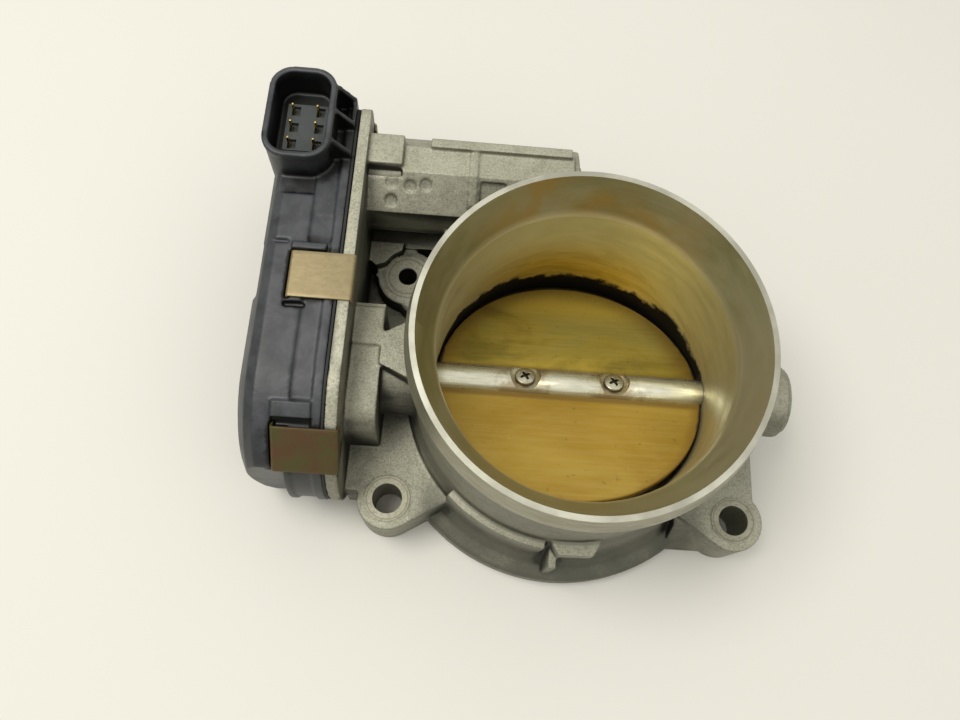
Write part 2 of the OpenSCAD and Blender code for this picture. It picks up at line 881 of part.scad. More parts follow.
module motor_bracket() {
    ear_r = 3.6;
    color("gainsboro")
        difference() {
            union() {
                intersection() {
                    bar_x(face_x - bracket_t, face_x, motor_r + 2, motor_y, motor_z);
                    along_x(face_x - bracket_t, face_x)
                        case_outline(cover_wall + 0.4);
                }
                for (a = motor_screw_angles)
                    bar_x(face_x - bracket_t, face_x, ear_r,
                        motor_y + screw_ring_r * cos(a), motor_z + screw_ring_r * sin(a));
            }
            bar_x(face_x - 3, face_x + 1, bush_r, motor_y, motor_z);
            for (a = motor_screw_angles)
                bar_x(face_x - 3, face_x + 1, 1.9,
                    motor_y + screw_ring_r * cos(a), motor_z + screw_ring_r * sin(a));
            for (s = [-1, 1])
                span([face_x - 3, lead_y - 1, motor_z + s * lead_dz - 2.6],
                    [face_x + 1, lead_y + 1, motor_z + s * lead_dz + 2.6]);
        }
}

module motor_end_cap() {
    color("ivory")
        difference() {
            bar_x(can_open + 0.1, can_open + 6, motor_r - can_t - 0.05, motor_y, motor_z);
            bar_x(can_open - 1, can_open + 7, 5.2, motor_y, motor_z);
            for (s = [-1, 1])
                span([can_open - 1, lead_y - 0.4, motor_z + s * lead_dz - 2],
                    [can_open + 7, lead_y + 0.4, motor_z + s * lead_dz + 2]);
        }
}

module motor_magnets() {
    magnet_out = motor_r - can_t - 0.05;
    near = -56;
    far = -18;
    split = 3;
    color("darkslategray")
        difference() {
            ring_x(near, far, magnet_out, magnet_in, motor_y, motor_z);
            span([near - 1, motor_y - split, motor_z - 20], [far + 1, motor_y + split, motor_z + 20]);
        }
}

module motor_brushes() {
    near = -64;
    far = -60;
    low = commutator_r + 0.1;
    high = commutator_r + 6.1;
    color("dimgray")
        for (s = [-1, 1])
            span([near, motor_y - 2, motor_z + (s > 0 ? low : -high)],
                [far, motor_y + 2, motor_z + (s > 0 ? high : -low)]);
}

module motor_terminals() {
    tip_x = -91;
    color("orange")
        for (s = [-1, 1])
            span([tip_x, lead_y - 0.4, motor_z + s * lead_dz - 2],
                [can_open + 6, lead_y + 0.4, motor_z + s * lead_dz + 2]);
}

module motor_screws() {
    head_r = 3.3;
    color("gainsboro")
        for (a = motor_screw_angles) {
            y = motor_y + screw_ring_r * cos(a);
            z = motor_z + screw_ring_r * sin(a);
            difference() {
                union() {
                    bar_x(face_x - bracket_t - 2.2, face_x - bracket_t, head_r, y, z);
                    bar_x(face_x - bracket_t - eps, plate_x - 0.8, 1.65, y, z);
                }
                span([face_x - bracket_t - 3, y - 2, z - 0.4], [face_x - bracket_t - 1.2, y + 2, z + 0.4]);
                span([face_x - bracket_t - 3, y - 0.4, z - 2], [face_x - bracket_t - 1.2, y + 0.4, z + 2]);
            }
        }
}

module motor_front_bush() {
    color("darkgoldenrod")
        ring_x(face_x - bracket_t, face_x + 2.6, bush_r, mshaft_r + fit_gap, motor_y, motor_z);
}

module motor_rear_bush() {
    color("darkgoldenrod")
        ring_x(can_end - 1, can_end + 2.8, bush_r, mshaft_r + fit_gap, motor_y, motor_z);
}

module motor_shaft() {
    color("silver")
        bar_x(mshaft_out, can_end + 2.6, mshaft_r, motor_y, motor_z);
}

module motor_armature() {
    slots = 10;
    near = -54;
    far = -20;
    color("chocolate") {
        difference() {
            bar_x(near, far, armature_r, motor_y, motor_z);
            bar_x(near - 1, far + 1, mshaft_r, motor_y, motor_z);
            for (i = [0:slots - 1])
                translate([(near + far) / 2, motor_y, motor_z])
                    rotate([i * 360 / slots, 0, 0])
                        translate([0, 0, armature_r])
                            cube([far - near + 2, 1.5, 4], center = true);
        }
        ring_x(near - 3.4, near + eps, winding_r, mshaft_r, motor_y, motor_z);
        ring_x(far - eps, far + 4, winding_r, mshaft_r, motor_y, motor_z);
    }
}

module motor_commutator() {
    near = -65.5;
    far = -57.6;
    color("orange")
        ring_x(near, far, commutator_r, mshaft_r, motor_y, motor_z);
}

module motor_pinion() {
    color("goldenrod")
        difference() {
            translate([0, motor_y, motor_z])
                along_x(pinion_x, pinion_x + pinion_w)
                    full_gear(fast_module, pinion_teeth, fast_angle + 180 / pinion_teeth + 180);
            bar_x(pinion_x - 1, pinion_x + pinion_w + 1, mshaft_r, motor_y, motor_z);
        }
}

// ---------- throttle ----------

// Turns children about the shaft to the resting angle
module at_rest() {
    translate([0, 0, shaft_z])
        rotate([-rest_angle, 0, 0])
            children();
}

module throttle_shaft() {
    color("silver")
        difference() {
            bar_x(shaft_left, shaft_right, shaft_r);
            at_rest() {
                cube([2 * plate_r + 0.2, 2 * shaft_d, plate_t], center = true);
                for (x = [-screw_pitch / 2, screw_pitch / 2])
                    translate([x, 0, 0]) {
                        translate([0, 0, screw_seat])
                            cylinder(h = shaft_d, r = screw_bore_r);
                        translate([0, 0, -shaft_d])
                            cylinder(h = 2 * shaft_d, r = screw_shank_r);
                    }
            }
        }
}

module throttle_plate() {
    color("goldenrod")
        at_rest()
            difference() {
                translate([0, 0, -plate_t / 2])
                    cylinder(h = plate_t, r = plate_r);
                for (x = [-screw_pitch / 2, screw_pitch / 2])
                    translate([x, 0, -plate_t])
                        cylinder(h = 2 * plate_t, r = screw_shank_r);
            }
}

module plate_screws() {
    head_h = 1.9;
    shank_low = -shaft_r + 0.6;
    color("gainsboro")
        at_rest()
            for (x = [-screw_pitch / 2, screw_pitch / 2])
                translate([x, 0, 0])
                    difference() {
                        union() {
                            translate([0, 0, screw_seat])
                                cylinder(h = head_h, r = screw_head_r);
                            translate([0, 0, shank_low])
                                cylinder(h = screw_seat - shank_low + eps, r = screw_shank_r);
                        }
                        for (a = [0, 90])
                            translate([0, 0, screw_seat + head_h])
                                rotate([0, 0, a + 30])
                                    cube([3.4, 0.8, 2], center = true);
                    }
}

module sector_gear() {
    first = -4;
    last = 10;
    root_r = sector_pr - dedendum * slow_module;
    pitch = 360 / sector_teeth;
    spread = [slow_angle + (first - 0.5) * pitch, slow_angle + (last + 0.5) * pitch];
    steps = 24;
    web_pts = [for (i = [0:steps]) let (a = spread[0] + (spread[1] - spread[0]) * i / steps)
        (root_r + 0.3) * [cos(a), sin(a)]];
    tooth = concat(flank(slow_module, sector_teeth), mirrored(flank(slow_module, sector_teeth)));
    color("whitesmoke")
        difference() {
            union() {
                translate([0, 0, shaft_z])
                    along_x(sector_x, sector_x + sector_w) {
                        polygon(concat([[0, 0]], web_pts));
                        for (i = [first:last])
                            polygon(concat(
                                [[0, 0]],
                                [for (p = tooth) turned(p, slow_angle + i * pitch)]
                            ));
                    }
                bar_x(sector_x - 0.8, sector_x + sector_w + 0.6, 10);
            }
            bar_x(sector_x - 3, sector_x + sector_w + 3, shaft_r);
            translate([0, 0, shaft_z])
                along_x(sector_x - 2, sector_x + sector_w + 2)
                    for (a = [10, 50])
                        translate([15.5 * cos(a), 15.5 * sin(a)])
                            circle(r = 3.6);
        }
}

module sensor_rotor() {
    disc_x = -88.2;
    hub_end = -82.2;
    color("whitesmoke")
        difference() {
            union() {
                bar_x(disc_x - 2.8, disc_x, 12);
                bar_x(disc_x - eps, hub_end, 5.8);
            }
            bar_x(shaft_left, hub_end + 2, shaft_r);
        }
}

// Wire's centre at step i: radius direction a, position along the shaft and run along the leg
function coil_point(i, j) =
    let (
        k = max(0, min(step_n, i)),
        a = -90 + 360 * coil_turns * k / step_n,
        leg = i < 0 ? -outer_leg : i > step_n ? inner_leg : 0,
        b = 360 * j / ring_n,
        r = coil_r + wire_r * cos(b)
    )
    [coil_x0 + (coil_x1 - coil_x0) * k / step_n + wire_r * sin(b), r * cos(a) + leg, shaft_z + r * sin(a)];

// Coil of round wire as a swept tube, with a straight leg at each end
module return_spring() {
    rings = step_n + 3;
    pts = [for (i = [-1:step_n + 1], j = [0:ring_n - 1]) coil_point(i, j)];
    sides = [for (i = [0:rings - 2], j = [0:ring_n - 1], half = [0, 1])
        let (
            k = (j + 1) % ring_n,
            p = i * ring_n + j,
            q = i * ring_n + k,
            up = ring_n
        )
        half == 0 ? [p, q, q + up] : [p, q + up, p + up]];
    caps = [
        [for (j = [ring_n - 1:-1:0]) j],
        [for (j = [0:ring_n - 1]) (rings - 1) * ring_n + j]
    ];
    color("dimgray")
        polyhedron(points = pts, faces = concat(sides, caps), convexity = 6);
}

module intermediate_gear() {
    color("whitesmoke")
        difference() {
            translate([0, idler_y, idler_z]) {
                along_x(idler_x - eps, idler_x + idler_w)
                    full_gear(slow_module, idler_teeth, slow_angle + 180 / idler_teeth + 180);
                along_x(wheel_x, wheel_x + wheel_w)
                    full_gear(fast_module, wheel_teeth, fast_angle);
            }
            bar_x(wheel_x - 1, idler_x + idler_w + 1, pin_r + fit_gap, idler_y, idler_z);
            // Weight-saving ring in the wheel's outer face
            difference() {
                bar_x(wheel_x - 1, wheel_x + 1.4, wheel_pr - 4, idler_y, idler_z);
                bar_x(wheel_x - 2, wheel_x + 2, 6, idler_y, idler_z);
            }
        }
}

// ---------- output ----------

throttle_housing();
gear_cover();
cover_gasket();
cover_clips();
connector_insert();
connector_terminals();
lead_frame();
sensor_board();
left_bearing();
right_bearing();
shaft_seal();
shaft_end_plug();
idler_pin();
motor_case();
motor_bracket();
motor_end_cap();
motor_magnets();
motor_brushes();
motor_terminals();
motor_screws();
motor_front_bush();
motor_rear_bush();
throttle_shaft();
throttle_plate();
plate_screws();
sector_gear();
sensor_rotor();
return_spring();
intermediate_gear();
motor_shaft();
motor_armature();
motor_commutator();
motor_pinion();
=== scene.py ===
import json
import math
import bmesh
import bpy
import numpy as np
from mathutils import Euler, Matrix, Vector
from mathutils.bvhtree import BVHTree
from mathutils.kdtree import KDTree


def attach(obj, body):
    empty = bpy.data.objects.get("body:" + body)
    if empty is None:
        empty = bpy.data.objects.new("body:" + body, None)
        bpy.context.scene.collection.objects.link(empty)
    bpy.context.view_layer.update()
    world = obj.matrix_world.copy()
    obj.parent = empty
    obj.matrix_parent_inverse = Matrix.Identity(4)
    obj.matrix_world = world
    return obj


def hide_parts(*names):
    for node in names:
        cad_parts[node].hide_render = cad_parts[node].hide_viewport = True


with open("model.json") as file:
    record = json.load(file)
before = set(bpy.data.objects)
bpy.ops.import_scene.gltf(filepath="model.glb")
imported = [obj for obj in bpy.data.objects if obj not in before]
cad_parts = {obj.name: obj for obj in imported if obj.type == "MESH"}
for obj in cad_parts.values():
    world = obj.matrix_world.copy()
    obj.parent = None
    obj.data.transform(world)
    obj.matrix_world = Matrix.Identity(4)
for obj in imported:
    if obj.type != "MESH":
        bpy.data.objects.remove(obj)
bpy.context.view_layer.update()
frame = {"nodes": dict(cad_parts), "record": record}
scene = bpy.context.scene
MM = 0.001

# Sizes of the CAD part that the looks line up with, in millimetres
SHAFT_Z = 28.0
REST_ANGLE = math.radians(20)
BEAD_R = 52.3
BODY_H = 76.0
BEAD_LOW = BODY_H - 8.3
RIM_R = 48.9
THROAT_R = 49.6
BORE_R, BORE_WALL_R = 43.5, 45.0
NECK_OUT, NECK_IN = 51.9, 51.2
NECK_TOP, NECK_FOOT = 64.5, 31.2
SHAFT_HOLE_R, SHAFT_HOLE_X = 7.0, 43.6
LUGS = ((-56, -39, 9.8), (56, -39, 9.8), (-56, 39, 10.5), (56, 39, 10.5))
LUG_MARGIN = 2.2
LUG_TOP = 19.2
CASE_Y, CASE_Z, CASE_R = -8.0, 24.5, 33.0
CASE_TOP, CASE_LOW, CASE_END = 57.5, 1.5, 81.5
CASE_FACE_X = -73.0
PLATE_R, PLATE_T, PLATE_EDGE = 43.2, 2.4, 0.3
SCREW_X, SCREW_SEAT, HEAD_R, HEAD_H, DOME_DROP = 14.5, 2.6, 3.3, 1.9, 0.62

# ---------- node tree helper ----------


class Tree:
    """Short names for the nodes a material needs."""

    def __init__(self, name):
        self.mat = bpy.data.materials.new(name)
        self.mat.use_nodes = True
        self.nodes = self.mat.node_tree.nodes
        self.links = self.mat.node_tree.links
        self.bsdf = self.nodes["Principled BSDF"]
        self.place = self.nodes.new("ShaderNodeTexCoord").outputs["Object"]

    def put(self, socket, value):
        if isinstance(value, bpy.types.NodeSocket):
            self.links.new(value, socket)
        elif isinstance(value, (tuple, list)) and len(value) == 3 and socket.type == "RGBA":
            socket.default_value = (*value, 1)
        else:
            socket.default_value = value

    def math(self, op, a, b=0.0):
        n = self.nodes.new("ShaderNodeMath")
        n.operation = op
        self.put(n.inputs[0], a)
        self.put(n.inputs[1], b)
        return n.outputs[0]

    def axes(self):
        """The x, y and z of the point, in metres."""
        n = self.nodes.new("ShaderNodeSeparateXYZ")
        self.links.new(self.place, n.inputs[0])
        return n.outputs

    def vec(self, x, y, z):
        n = self.nodes.new("ShaderNodeCombineXYZ")
        for k, v in enumerate((x, y, z)):
            self.put(n.inputs[k], v)
        return n.outputs[0]

    def scaled(self, sx, sy, sz):
        """The point with its axes stretched, for directional noise."""
        n = self.nodes.new("ShaderNodeMapping")
        self.links.new(self.place, n.inputs["Vector"])
        n.inputs["Scale"].default_value = (sx, sy, sz)
        return n.outputs[0]

    def noise(self, scale, detail=4.0, rough=0.55, vector=None, twist=0.0):
        n = self.nodes.new("ShaderNodeTexNoise")
        self.put(n.inputs["Vector"], vector if vector is not None else self.place)
        n.inputs["Scale"].default_value = scale
        n.inputs["Detail"].default_value = detail
        n.inputs["Roughness"].default_value = rough
        n.inputs["Distortion"].default_value = twist
        return n.outputs["Fac"]

    def cells(self, scale):
        n = self.nodes.new("ShaderNodeTexVoronoi")
        self.put(n.inputs["Vector"], self.place)
        n.inputs["Scale"].default_value = scale
        return n.outputs["Distance"]

    def band(self, value, low, high, out_low=0.0, out_high=1.0):
        """A smooth step from out_low at low to out_high at high."""
        n = self.nodes.new("ShaderNodeMapRange")
        n.interpolation_type = "SMOOTHSTEP"
        names = ("Value", "From Min", "From Max", "To Min", "To Max")
        for name, v in zip(names, (value, low, high, out_low, out_high)):
            self.put(n.inputs[name], v)
        return n.outputs[0]

    def mix(self, factor, a, b):
        n = self.nodes.new("ShaderNodeMix")
        n.data_type = "RGBA"
        self.put(n.inputs["Factor"], factor)
        self.put(n.inputs["A"], a)
        self.put(n.inputs["B"], b)
        return n.outputs["Result"]

    def plus(self, a, b):
        return self.math("ADD", a, b)

    def minus(self, a, b):
        return self.math("SUBTRACT", a, b)

    def absolute(self, a):
        return self.math("ABSOLUTE", a)

    def length(self, a, b):
        return self.math("SQRT", self.plus(self.times(a, a), self.times(b, b)))

    def times(self, *values):
        out = values[0]
        for v in values[1:]:
            out = self.math("MULTIPLY", out, v)
        return out

    def up(self, low, high):
        """1 where the surface faces straight up."""
        n = self.nodes.new("ShaderNodeNewGeometry")
        split = self.nodes.new("ShaderNodeSeparateXYZ")
        self.links.new(n.outputs["Normal"], split.inputs[0])
        return self.band(split.outputs["Z"], low, high)

    def enclosure(self):
        """How enclosed the point is, from the mesh attribute that paint_hollows stores."""
        n = self.nodes.new("ShaderNodeAttribute")
        n.attribute_name = "hollow"
        return n.outputs["Fac"]

    def bump(self, *layers):
        """Each layer is (height, strength, distance in mm)."""
        last = None
        for height, strength, distance in layers:
            n = self.nodes.new("ShaderNodeBump")
            n.inputs["Strength"].default_value = strength
            n.inputs["Distance"].default_value = distance * MM
            self.links.new(height, n.inputs["Height"])
            if last is not None:
                self.links.new(last, n.inputs["Normal"])
            last = n.outputs["Normal"]
        self.links.new(last, self.bsdf.inputs["Normal"])

    def finish(self, colour, rough, metal):
        self.put(self.bsdf.inputs["Base Color"], colour)
        self.put(self.bsdf.inputs["Roughness"], rough)
        self.bsdf.inputs["Metallic"].default_value = metal
        return self.mat


# ---------- materials ----------


EJECTOR_MARKS = ((-62, -3.6), (-56, -4.6), (-62, -9.6), (-51, -3.9))
MARK_R = 2.1
PANEL_Z = 43.0
SLOPE_Y, SLOPE_COS = 60.5, math.cos(math.radians(40.6))


def painted_flange_shade(t, x, y, z):
    """How much painted shade lies on the front of the flange and the foot of the neck."""
    low = t.band(z, 0.031, 0.017)
    front = t.band(y, -0.02, -0.046)
    between_lugs = t.band(t.absolute(x), 0.049, 0.042)
    patchy = t.band(t.noise(70, 4, 0.6), 0.2, 0.6, 0.65, 0.92)
    return t.times(low, front, between_lugs, patchy)


def painted_neck_shade(t, col, x, y, z):
    """Painted shade on the neck, darkest in rings under the bead and at the neck's foot."""
    by_neck = t.band(t.length(x, y), NECK_OUT * MM, NECK_IN * MM)
    under_bead = t.band(z, (NECK_TOP - 5.0) * MM, NECK_TOP * MM, 0, 0.9)
    at_foot = t.band(z, (NECK_FOOT + 3.3) * MM, NECK_FOOT * MM, 0, 0.85)
    col = t.mix(t.times(by_neck, t.math("MAXIMUM", under_bead, at_foot)), col, (0.035, 0.034, 0.022))
    return t.mix(t.times(by_neck, 0.5), col, (0.2, 0.195, 0.13))


def ejector_marks(t, col, x, y, z):
    """Round marks on the sloping panel, each with a darker edge."""
    for mark_x, mark_y in EJECTOR_MARKS:
        dx = t.minus(x, mark_x * MM)
        dy = t.math("DIVIDE", t.minus(y, (SLOPE_Y + mark_y * SLOPE_COS) * MM), SLOPE_COS)
        away = t.length(dx, dy)
        on_panel = t.math("GREATER_THAN", z, PANEL_Z * MM)
        disc = t.times(t.band(away, (MARK_R + 0.2) * MM, (MARK_R - 0.1) * MM), on_panel)
        edge = t.times(disc, t.band(away, (MARK_R - 0.5) * MM, (MARK_R - 0.1) * MM))
        col = t.mix(t.times(disc, 0.28), col, (0.17, 0.165, 0.12))
        col = t.mix(t.times(edge, 0.5), col, (0.12, 0.115, 0.085))
    return col


def cast_aluminium():
    """The casting: speckled grain, painted shade on its walls, the flange front, the neck and in its
    hollows, painted light on its tops.
    """
    t = Tree("cast_aluminium")
    x, y, z = t.axes()
    cloud = t.noise(45, 5, 0.6)
    blotch = t.noise(190, 5, 0.7, twist=0.6)
    grain = t.noise(1300, 4, 0.75)
    speck = t.noise(2600, 2, 0.6)
    col = t.mix(t.band(cloud, 0.3, 0.7), (0.31, 0.30, 0.212), (0.42, 0.408, 0.305))
    col = t.mix(t.band(blotch, 0.46, 0.72, 0, 0.6), col, (0.22, 0.21, 0.15))
    col = t.mix(t.band(grain, 0.53, 0.37, 0, 0.6), col, (0.13, 0.125, 0.088))
    col = t.mix(t.band(speck, 0.55, 0.69, 0, 0.6), col, (0.66, 0.645, 0.53))
    flange_shade = painted_flange_shade(t, x, y, z)
    # Painted shade on the front of the flange and the foot of the neck
    col = t.mix(flange_shade, col, (0.088, 0.088, 0.063))
    # Painted shade on the neck, darkest under the bead and at its foot
    col = painted_neck_shade(t, col, x, y, z)
    col = ejector_marks(t, col, x, y, z)
    # Painted light on the tops and painted shade on the upright walls, darkest in corners
    top = t.up(0.55, 0.95)
    col = t.mix(t.minus(0.5, t.times(top, 0.5)), col, (0.12, 0.118, 0.088))
    lit_tops = t.times(top, t.minus(1.0, flange_shade), t.band(cloud, 0.3, 0.7, 0.1, 0.3))
    col = t.mix(lit_tops, col, (0.56, 0.548, 0.435))
    # Painted shade in the hollows, near black where most enclosed, less on tops
    hollow = t.times(t.enclosure(), t.minus(1.0, t.times(top, 0.42)))
    col = t.mix(t.band(hollow, 0.2, 0.52, 0, 0.98), col, (0.018, 0.017, 0.011))
    rough = t.plus(t.band(blotch, 0.3, 0.8, 0.44, 0.6), t.band(t.enclosure(), 0.3, 0.9, 0, 0.2))
    pits = t.minus(1.0, t.band(t.cells(620), 0.0, 0.5))
    t.bump((t.noise(260, 4, 0.6), 0.55, 0.32), (grain, 0.8, 0.12), (pits, 0.35, 0.07))
    return t.finish(col, rough, 0.25)


def height_over_plate(t, y, z):
    """Distance above the resting plate's middle plane."""
    over = t.minus(z, SHAFT_Z * MM)
    return t.plus(t.times(over, math.cos(REST_ANGLE)), t.times(y, math.sin(REST_ANGLE)))


def along_plate(t, y, z):
    """Distance from the shaft's axis, measured in the resting plate's plane."""
    over = t.minus(z, SHAFT_Z * MM)
    return t.minus(t.times(y, math.cos(REST_ANGLE)), t.times(over, math.sin(REST_ANGLE)))


def outer_turning(t, z, r, lines, streak):
    """Outer cone and bead, then the bright cut of the rim's flat top."""
    clean = t.mix(t.band(lines, 0.3, 0.7), (0.27, 0.258, 0.18), (0.38, 0.365, 0.27))
    clean = t.mix(t.band(streak, 0.5, 0.75, 0, 0.5), clean, (0.2, 0.19, 0.13))
    high = t.band(z, (BODY_H - 0.4) * MM, (BODY_H - 0.1) * MM)
    top = t.times(high, t.math("GREATER_THAN", r, RIM_R * MM))
    cut = t.mix(t.band(t.noise(60, 4, 0.6), 0.3, 0.7), (0.42, 0.41, 0.33), (0.66, 0.65, 0.54))
    return t.mix(top, clean, cut)


def bore_wall(t, x, y, z, streak, cloud):
    """Olive grey wall, turning amber towards the plate."""
    wall = t.mix(t.band(streak, 0.35, 0.7), (0.62, 0.595, 0.415), (0.52, 0.485, 0.285))
    grey = t.times(t.band(x, 0.028, -0.02), t.band(cloud, 0.25, 0.65, 0.5, 1.0), 0.85)
    wall = t.mix(grey, wall, (0.80, 0.80, 0.64))
    amber = t.mix(t.band(streak, 0.4, 0.65), (0.62, 0.48, 0.13), (0.48, 0.34, 0.05))
    low = t.times(t.band(z, 0.054, 0.030), t.band(cloud, 0.25, 0.6, 0.45, 1.0))
    middle = t.times(t.band(y, -0.03, 0.01, 0.35, 1.0), t.band(t.absolute(x), 0.041, 0.012, 0.3, 1.0))
    return t.mix(t.times(low, middle), wall, amber)


def inlet_taper(t, x, y, streak):
    """Dull taper under the rim, with painted light on one side and brown stains at the back."""
    cone = t.mix(t.band(streak, 0.35, 0.65), (0.33, 0.315, 0.165), (0.43, 0.405, 0.24))
    # Painted light on the +x side, strongest towards -y
    lit_side = t.times(t.band(x, 0.02, 0.045), t.band(y, 0.03, -0.01), 0.8)
    cone = t.mix(lit_side, cone, (0.52, 0.49, 0.34))
    at_back = t.times(t.band(y, -0.012, 0.03), t.band(t.absolute(x), 0.04, 0.02), 0.85)
    stains = t.band(t.noise(30, 4, 0.6, None, 0.8), 0.36, 0.6)
    return t.mix(t.times(at_back, stains), cone, (0.45, 0.31, 0.09))


def turned_aluminium():
    """Lathe-turned faces of the rim, inlet and bore, with brown stain and soot."""
    t = Tree("turned_aluminium")
    x, y, z = t.axes()
    r = t.length(x, y)
    around = t.math("ARCTAN2", y, x)
    lines = t.noise(2600, 3, 0.7, t.vec(t.times(around, 0.004), r, z))
    streak = t.noise(150, 5, 0.65, t.vec(t.times(around, 0.012), t.times(r, 0.6), z), 0.3)
    cloud = t.noise(38, 4, 0.6)
    taper = t.band(z, 0.0625, 0.066)
    inside = t.mix(taper, bore_wall(t, x, y, z, streak, cloud), inlet_taper(t, x, y, streak))
    # Soot on the wall above the plate's far edge, and shade below the plate
    above = height_over_plate(t, y, z)
    ragged = t.band(t.noise(120, 4, 0.6), 0.3, 0.7, -0.002, 0.002)
    ragged = t.plus(ragged, t.band(y, 0.005, 0.03, 0.0, -0.0035))
    reach = t.band(t.plus(above, ragged), 0.0068, 0.0040)
    soot = t.times(reach, t.band(above, -0.004, -0.001), t.band(y, -0.010, 0.008))
    inside = t.mix(t.times(t.band(above, 0.0, -0.006), 0.6), inside, (0.10, 0.08, 0.035))
    inside = t.mix(t.times(soot, 0.99), inside, (0.003, 0.0025, 0.002))
    inner = t.math("LESS_THAN", r, (RIM_R + 0.3) * MM)
    col = t.mix(inner, outer_turning(t, z, r, lines, streak), inside)
    # Painted shade in the deepest hollows
    col = t.mix(t.band(t.enclosure(), 0.75, 1.0, 0, 0.3), col, (0.08, 0.07, 0.04))
    rough = t.plus(t.band(streak, 0.3, 0.7, 0.3, 0.46), t.times(soot, 0.4))
    t.bump((lines, 0.25, 0.02), (t.noise(420, 3, 0.6), 0.12, 0.04))
    return t.finish(col, rough, 0.72)


RING_R, RING_HALF = 6.6, 0.4
HOLE_R = 4.6


def lug_marks(t, col, x, y, z):
    """A thin dark ring around each spot-face, and painted shade in the holes."""
    for lug_x, lug_y, _ in LUGS:
        away = t.length(t.minus(x, lug_x * MM), t.minus(y, lug_y * MM))
        inside = t.band(away, (RING_R - RING_HALF) * MM, RING_R * MM)
        outside = t.band(away, (RING_R + RING_HALF) * MM, RING_R * MM)
        col = t.mix(t.times(inside, outside, 0.6), col, (0.12, 0.115, 0.08))
        # Painted shade down each hole, below the spot-face
        in_hole = t.band(away, (HOLE_R + 0.3) * MM, HOLE_R * MM)
        below_top = t.band(z, LUG_TOP * MM, (LUG_TOP - 0.6) * MM)
        col = t.mix(t.times(in_hole, below_top, 0.93), col, (0.02, 0.019, 0.015))
    return col


def faced_aluminium():
    """Milled faces: lug spot-faces, holes and the manifold face."""
    t = Tree("faced_aluminium")
    x, y, z = t.axes()
    swirl = t.noise(1900, 2, 0.6, t.scaled(1, 0.12, 1))
    cloud = t.noise(120, 4, 0.6)
    speck = t.noise(1500, 3, 0.65)
    col = t.mix(t.band(cloud, 0.35, 0.65), (0.34, 0.33, 0.235), (0.44, 0.425, 0.325))
    col = t.mix(t.band(speck, 0.52, 0.38, 0, 0.5), col, (0.16, 0.15, 0.105))
    col = lug_marks(t, col, x, y, z)
    # Painted shade in the hollows, near black where most enclosed
    col = t.mix(t.band(t.enclosure(), 0.45, 0.85, 0, 0.97), col, (0.012, 0.011, 0.009))
    t.bump((swirl, 0.2, 0.03), (cloud, 0.15, 0.08))
    return t.finish(col, t.band(cloud, 0.3, 0.7, 0.42, 0.55), 0.5)


def plate_brass():
    """Brass-coloured plate, brushed along the shaft, with painted shade beside the shaft and stains at
    the edge.
    """
    t = Tree("plate_brass")
    x, y, _ = t.axes()
    r = t.length(x, y)
    brush = t.noise(900, 4, 0.7, t.scaled(0.05, 1, 1))
    cloud = t.noise(42, 5, 0.62, t.scaled(0.6, 1, 1), 0.7)
    fleck = t.noise(420, 4, 0.7)
    near = t.mix(t.band(cloud, 0.3, 0.7), (0.42, 0.255, 0.026), (0.52, 0.345, 0.055))
    far = t.mix(t.band(cloud, 0.36, 0.6), (0.27, 0.215, 0.032), (0.58, 0.425, 0.06))
    col = t.mix(t.band(y, -0.006, 0.006), near, far)
    far_half = t.times(t.band(y, 0.006, 0.016), t.band(y, 0.034, 0.024))
    col = t.mix(t.times(far_half, t.band(cloud, 0.42, 0.58), 0.7), col, (0.25, 0.24, 0.065))
    col = t.mix(t.band(brush, 0.35, 0.75, 0, 0.3), col, (0.60, 0.43, 0.14))
    col = t.mix(t.band(fleck, 0.62, 0.72, 0, 0.55), col, (0.20, 0.115, 0.03))
    # Painted shade on the plate beside the shaft
    shaft_shade = t.times(t.band(t.absolute(y), 0.0068, 0.0052), 0.7)
    col = t.mix(shaft_shade, col, (0.17, 0.105, 0.03))
    ring = t.plus(r, t.band(t.noise(90, 4, 0.6), 0.3, 0.7, -0.0006, 0.0006))
    rust_from = t.band(y, -0.004, 0.01, 0.0385, 0.034)
    rusty = t.times(t.band(ring, rust_from, (PLATE_R - 0.7) * MM), 0.7)
    col = t.mix(rusty, col, (0.30, 0.165, 0.03))
    at_edge = t.band(ring, (PLATE_R - 1.1) * MM, (PLATE_R - 0.1) * MM, 0, 0.9)
    col = t.mix(at_edge, col, (0.05, 0.035, 0.015))
    rough = t.plus(t.band(cloud, 0.3, 0.7, 0.34, 0.5), t.band(fleck, 0.6, 0.7, 0, 0.15))
    t.bump((brush, 0.22, 0.02), (cloud, 0.12, 0.12))
    return t.finish(col, rough, 0.5)


def steel(name, base, rough, stretch=(1, 1, 1), scale=1800, stain=None):
    """Bare metal with fine machining marks and, if given, patches of stain."""
    t = Tree(name)
    fine = t.noise(scale, 3, 0.65, t.scaled(*stretch))
    cloud = t.noise(150, 4, 0.6)
    dark = tuple(c * 0.72 for c in base)
    col = t.mix(t.band(fine, 0.3, 0.7), dark, base)
    if stain:
        col = t.mix(t.band(t.noise(95, 5, 0.65, None, 0.5), 0.52, 0.72, 0, 0.7), col, stain)
    t.bump((fine, 0.2, 0.02), (cloud, 0.08, 0.08))
    return t.finish(col, t.band(cloud, 0.3, 0.7, rough * 0.8, rough * 1.25), 1.0)


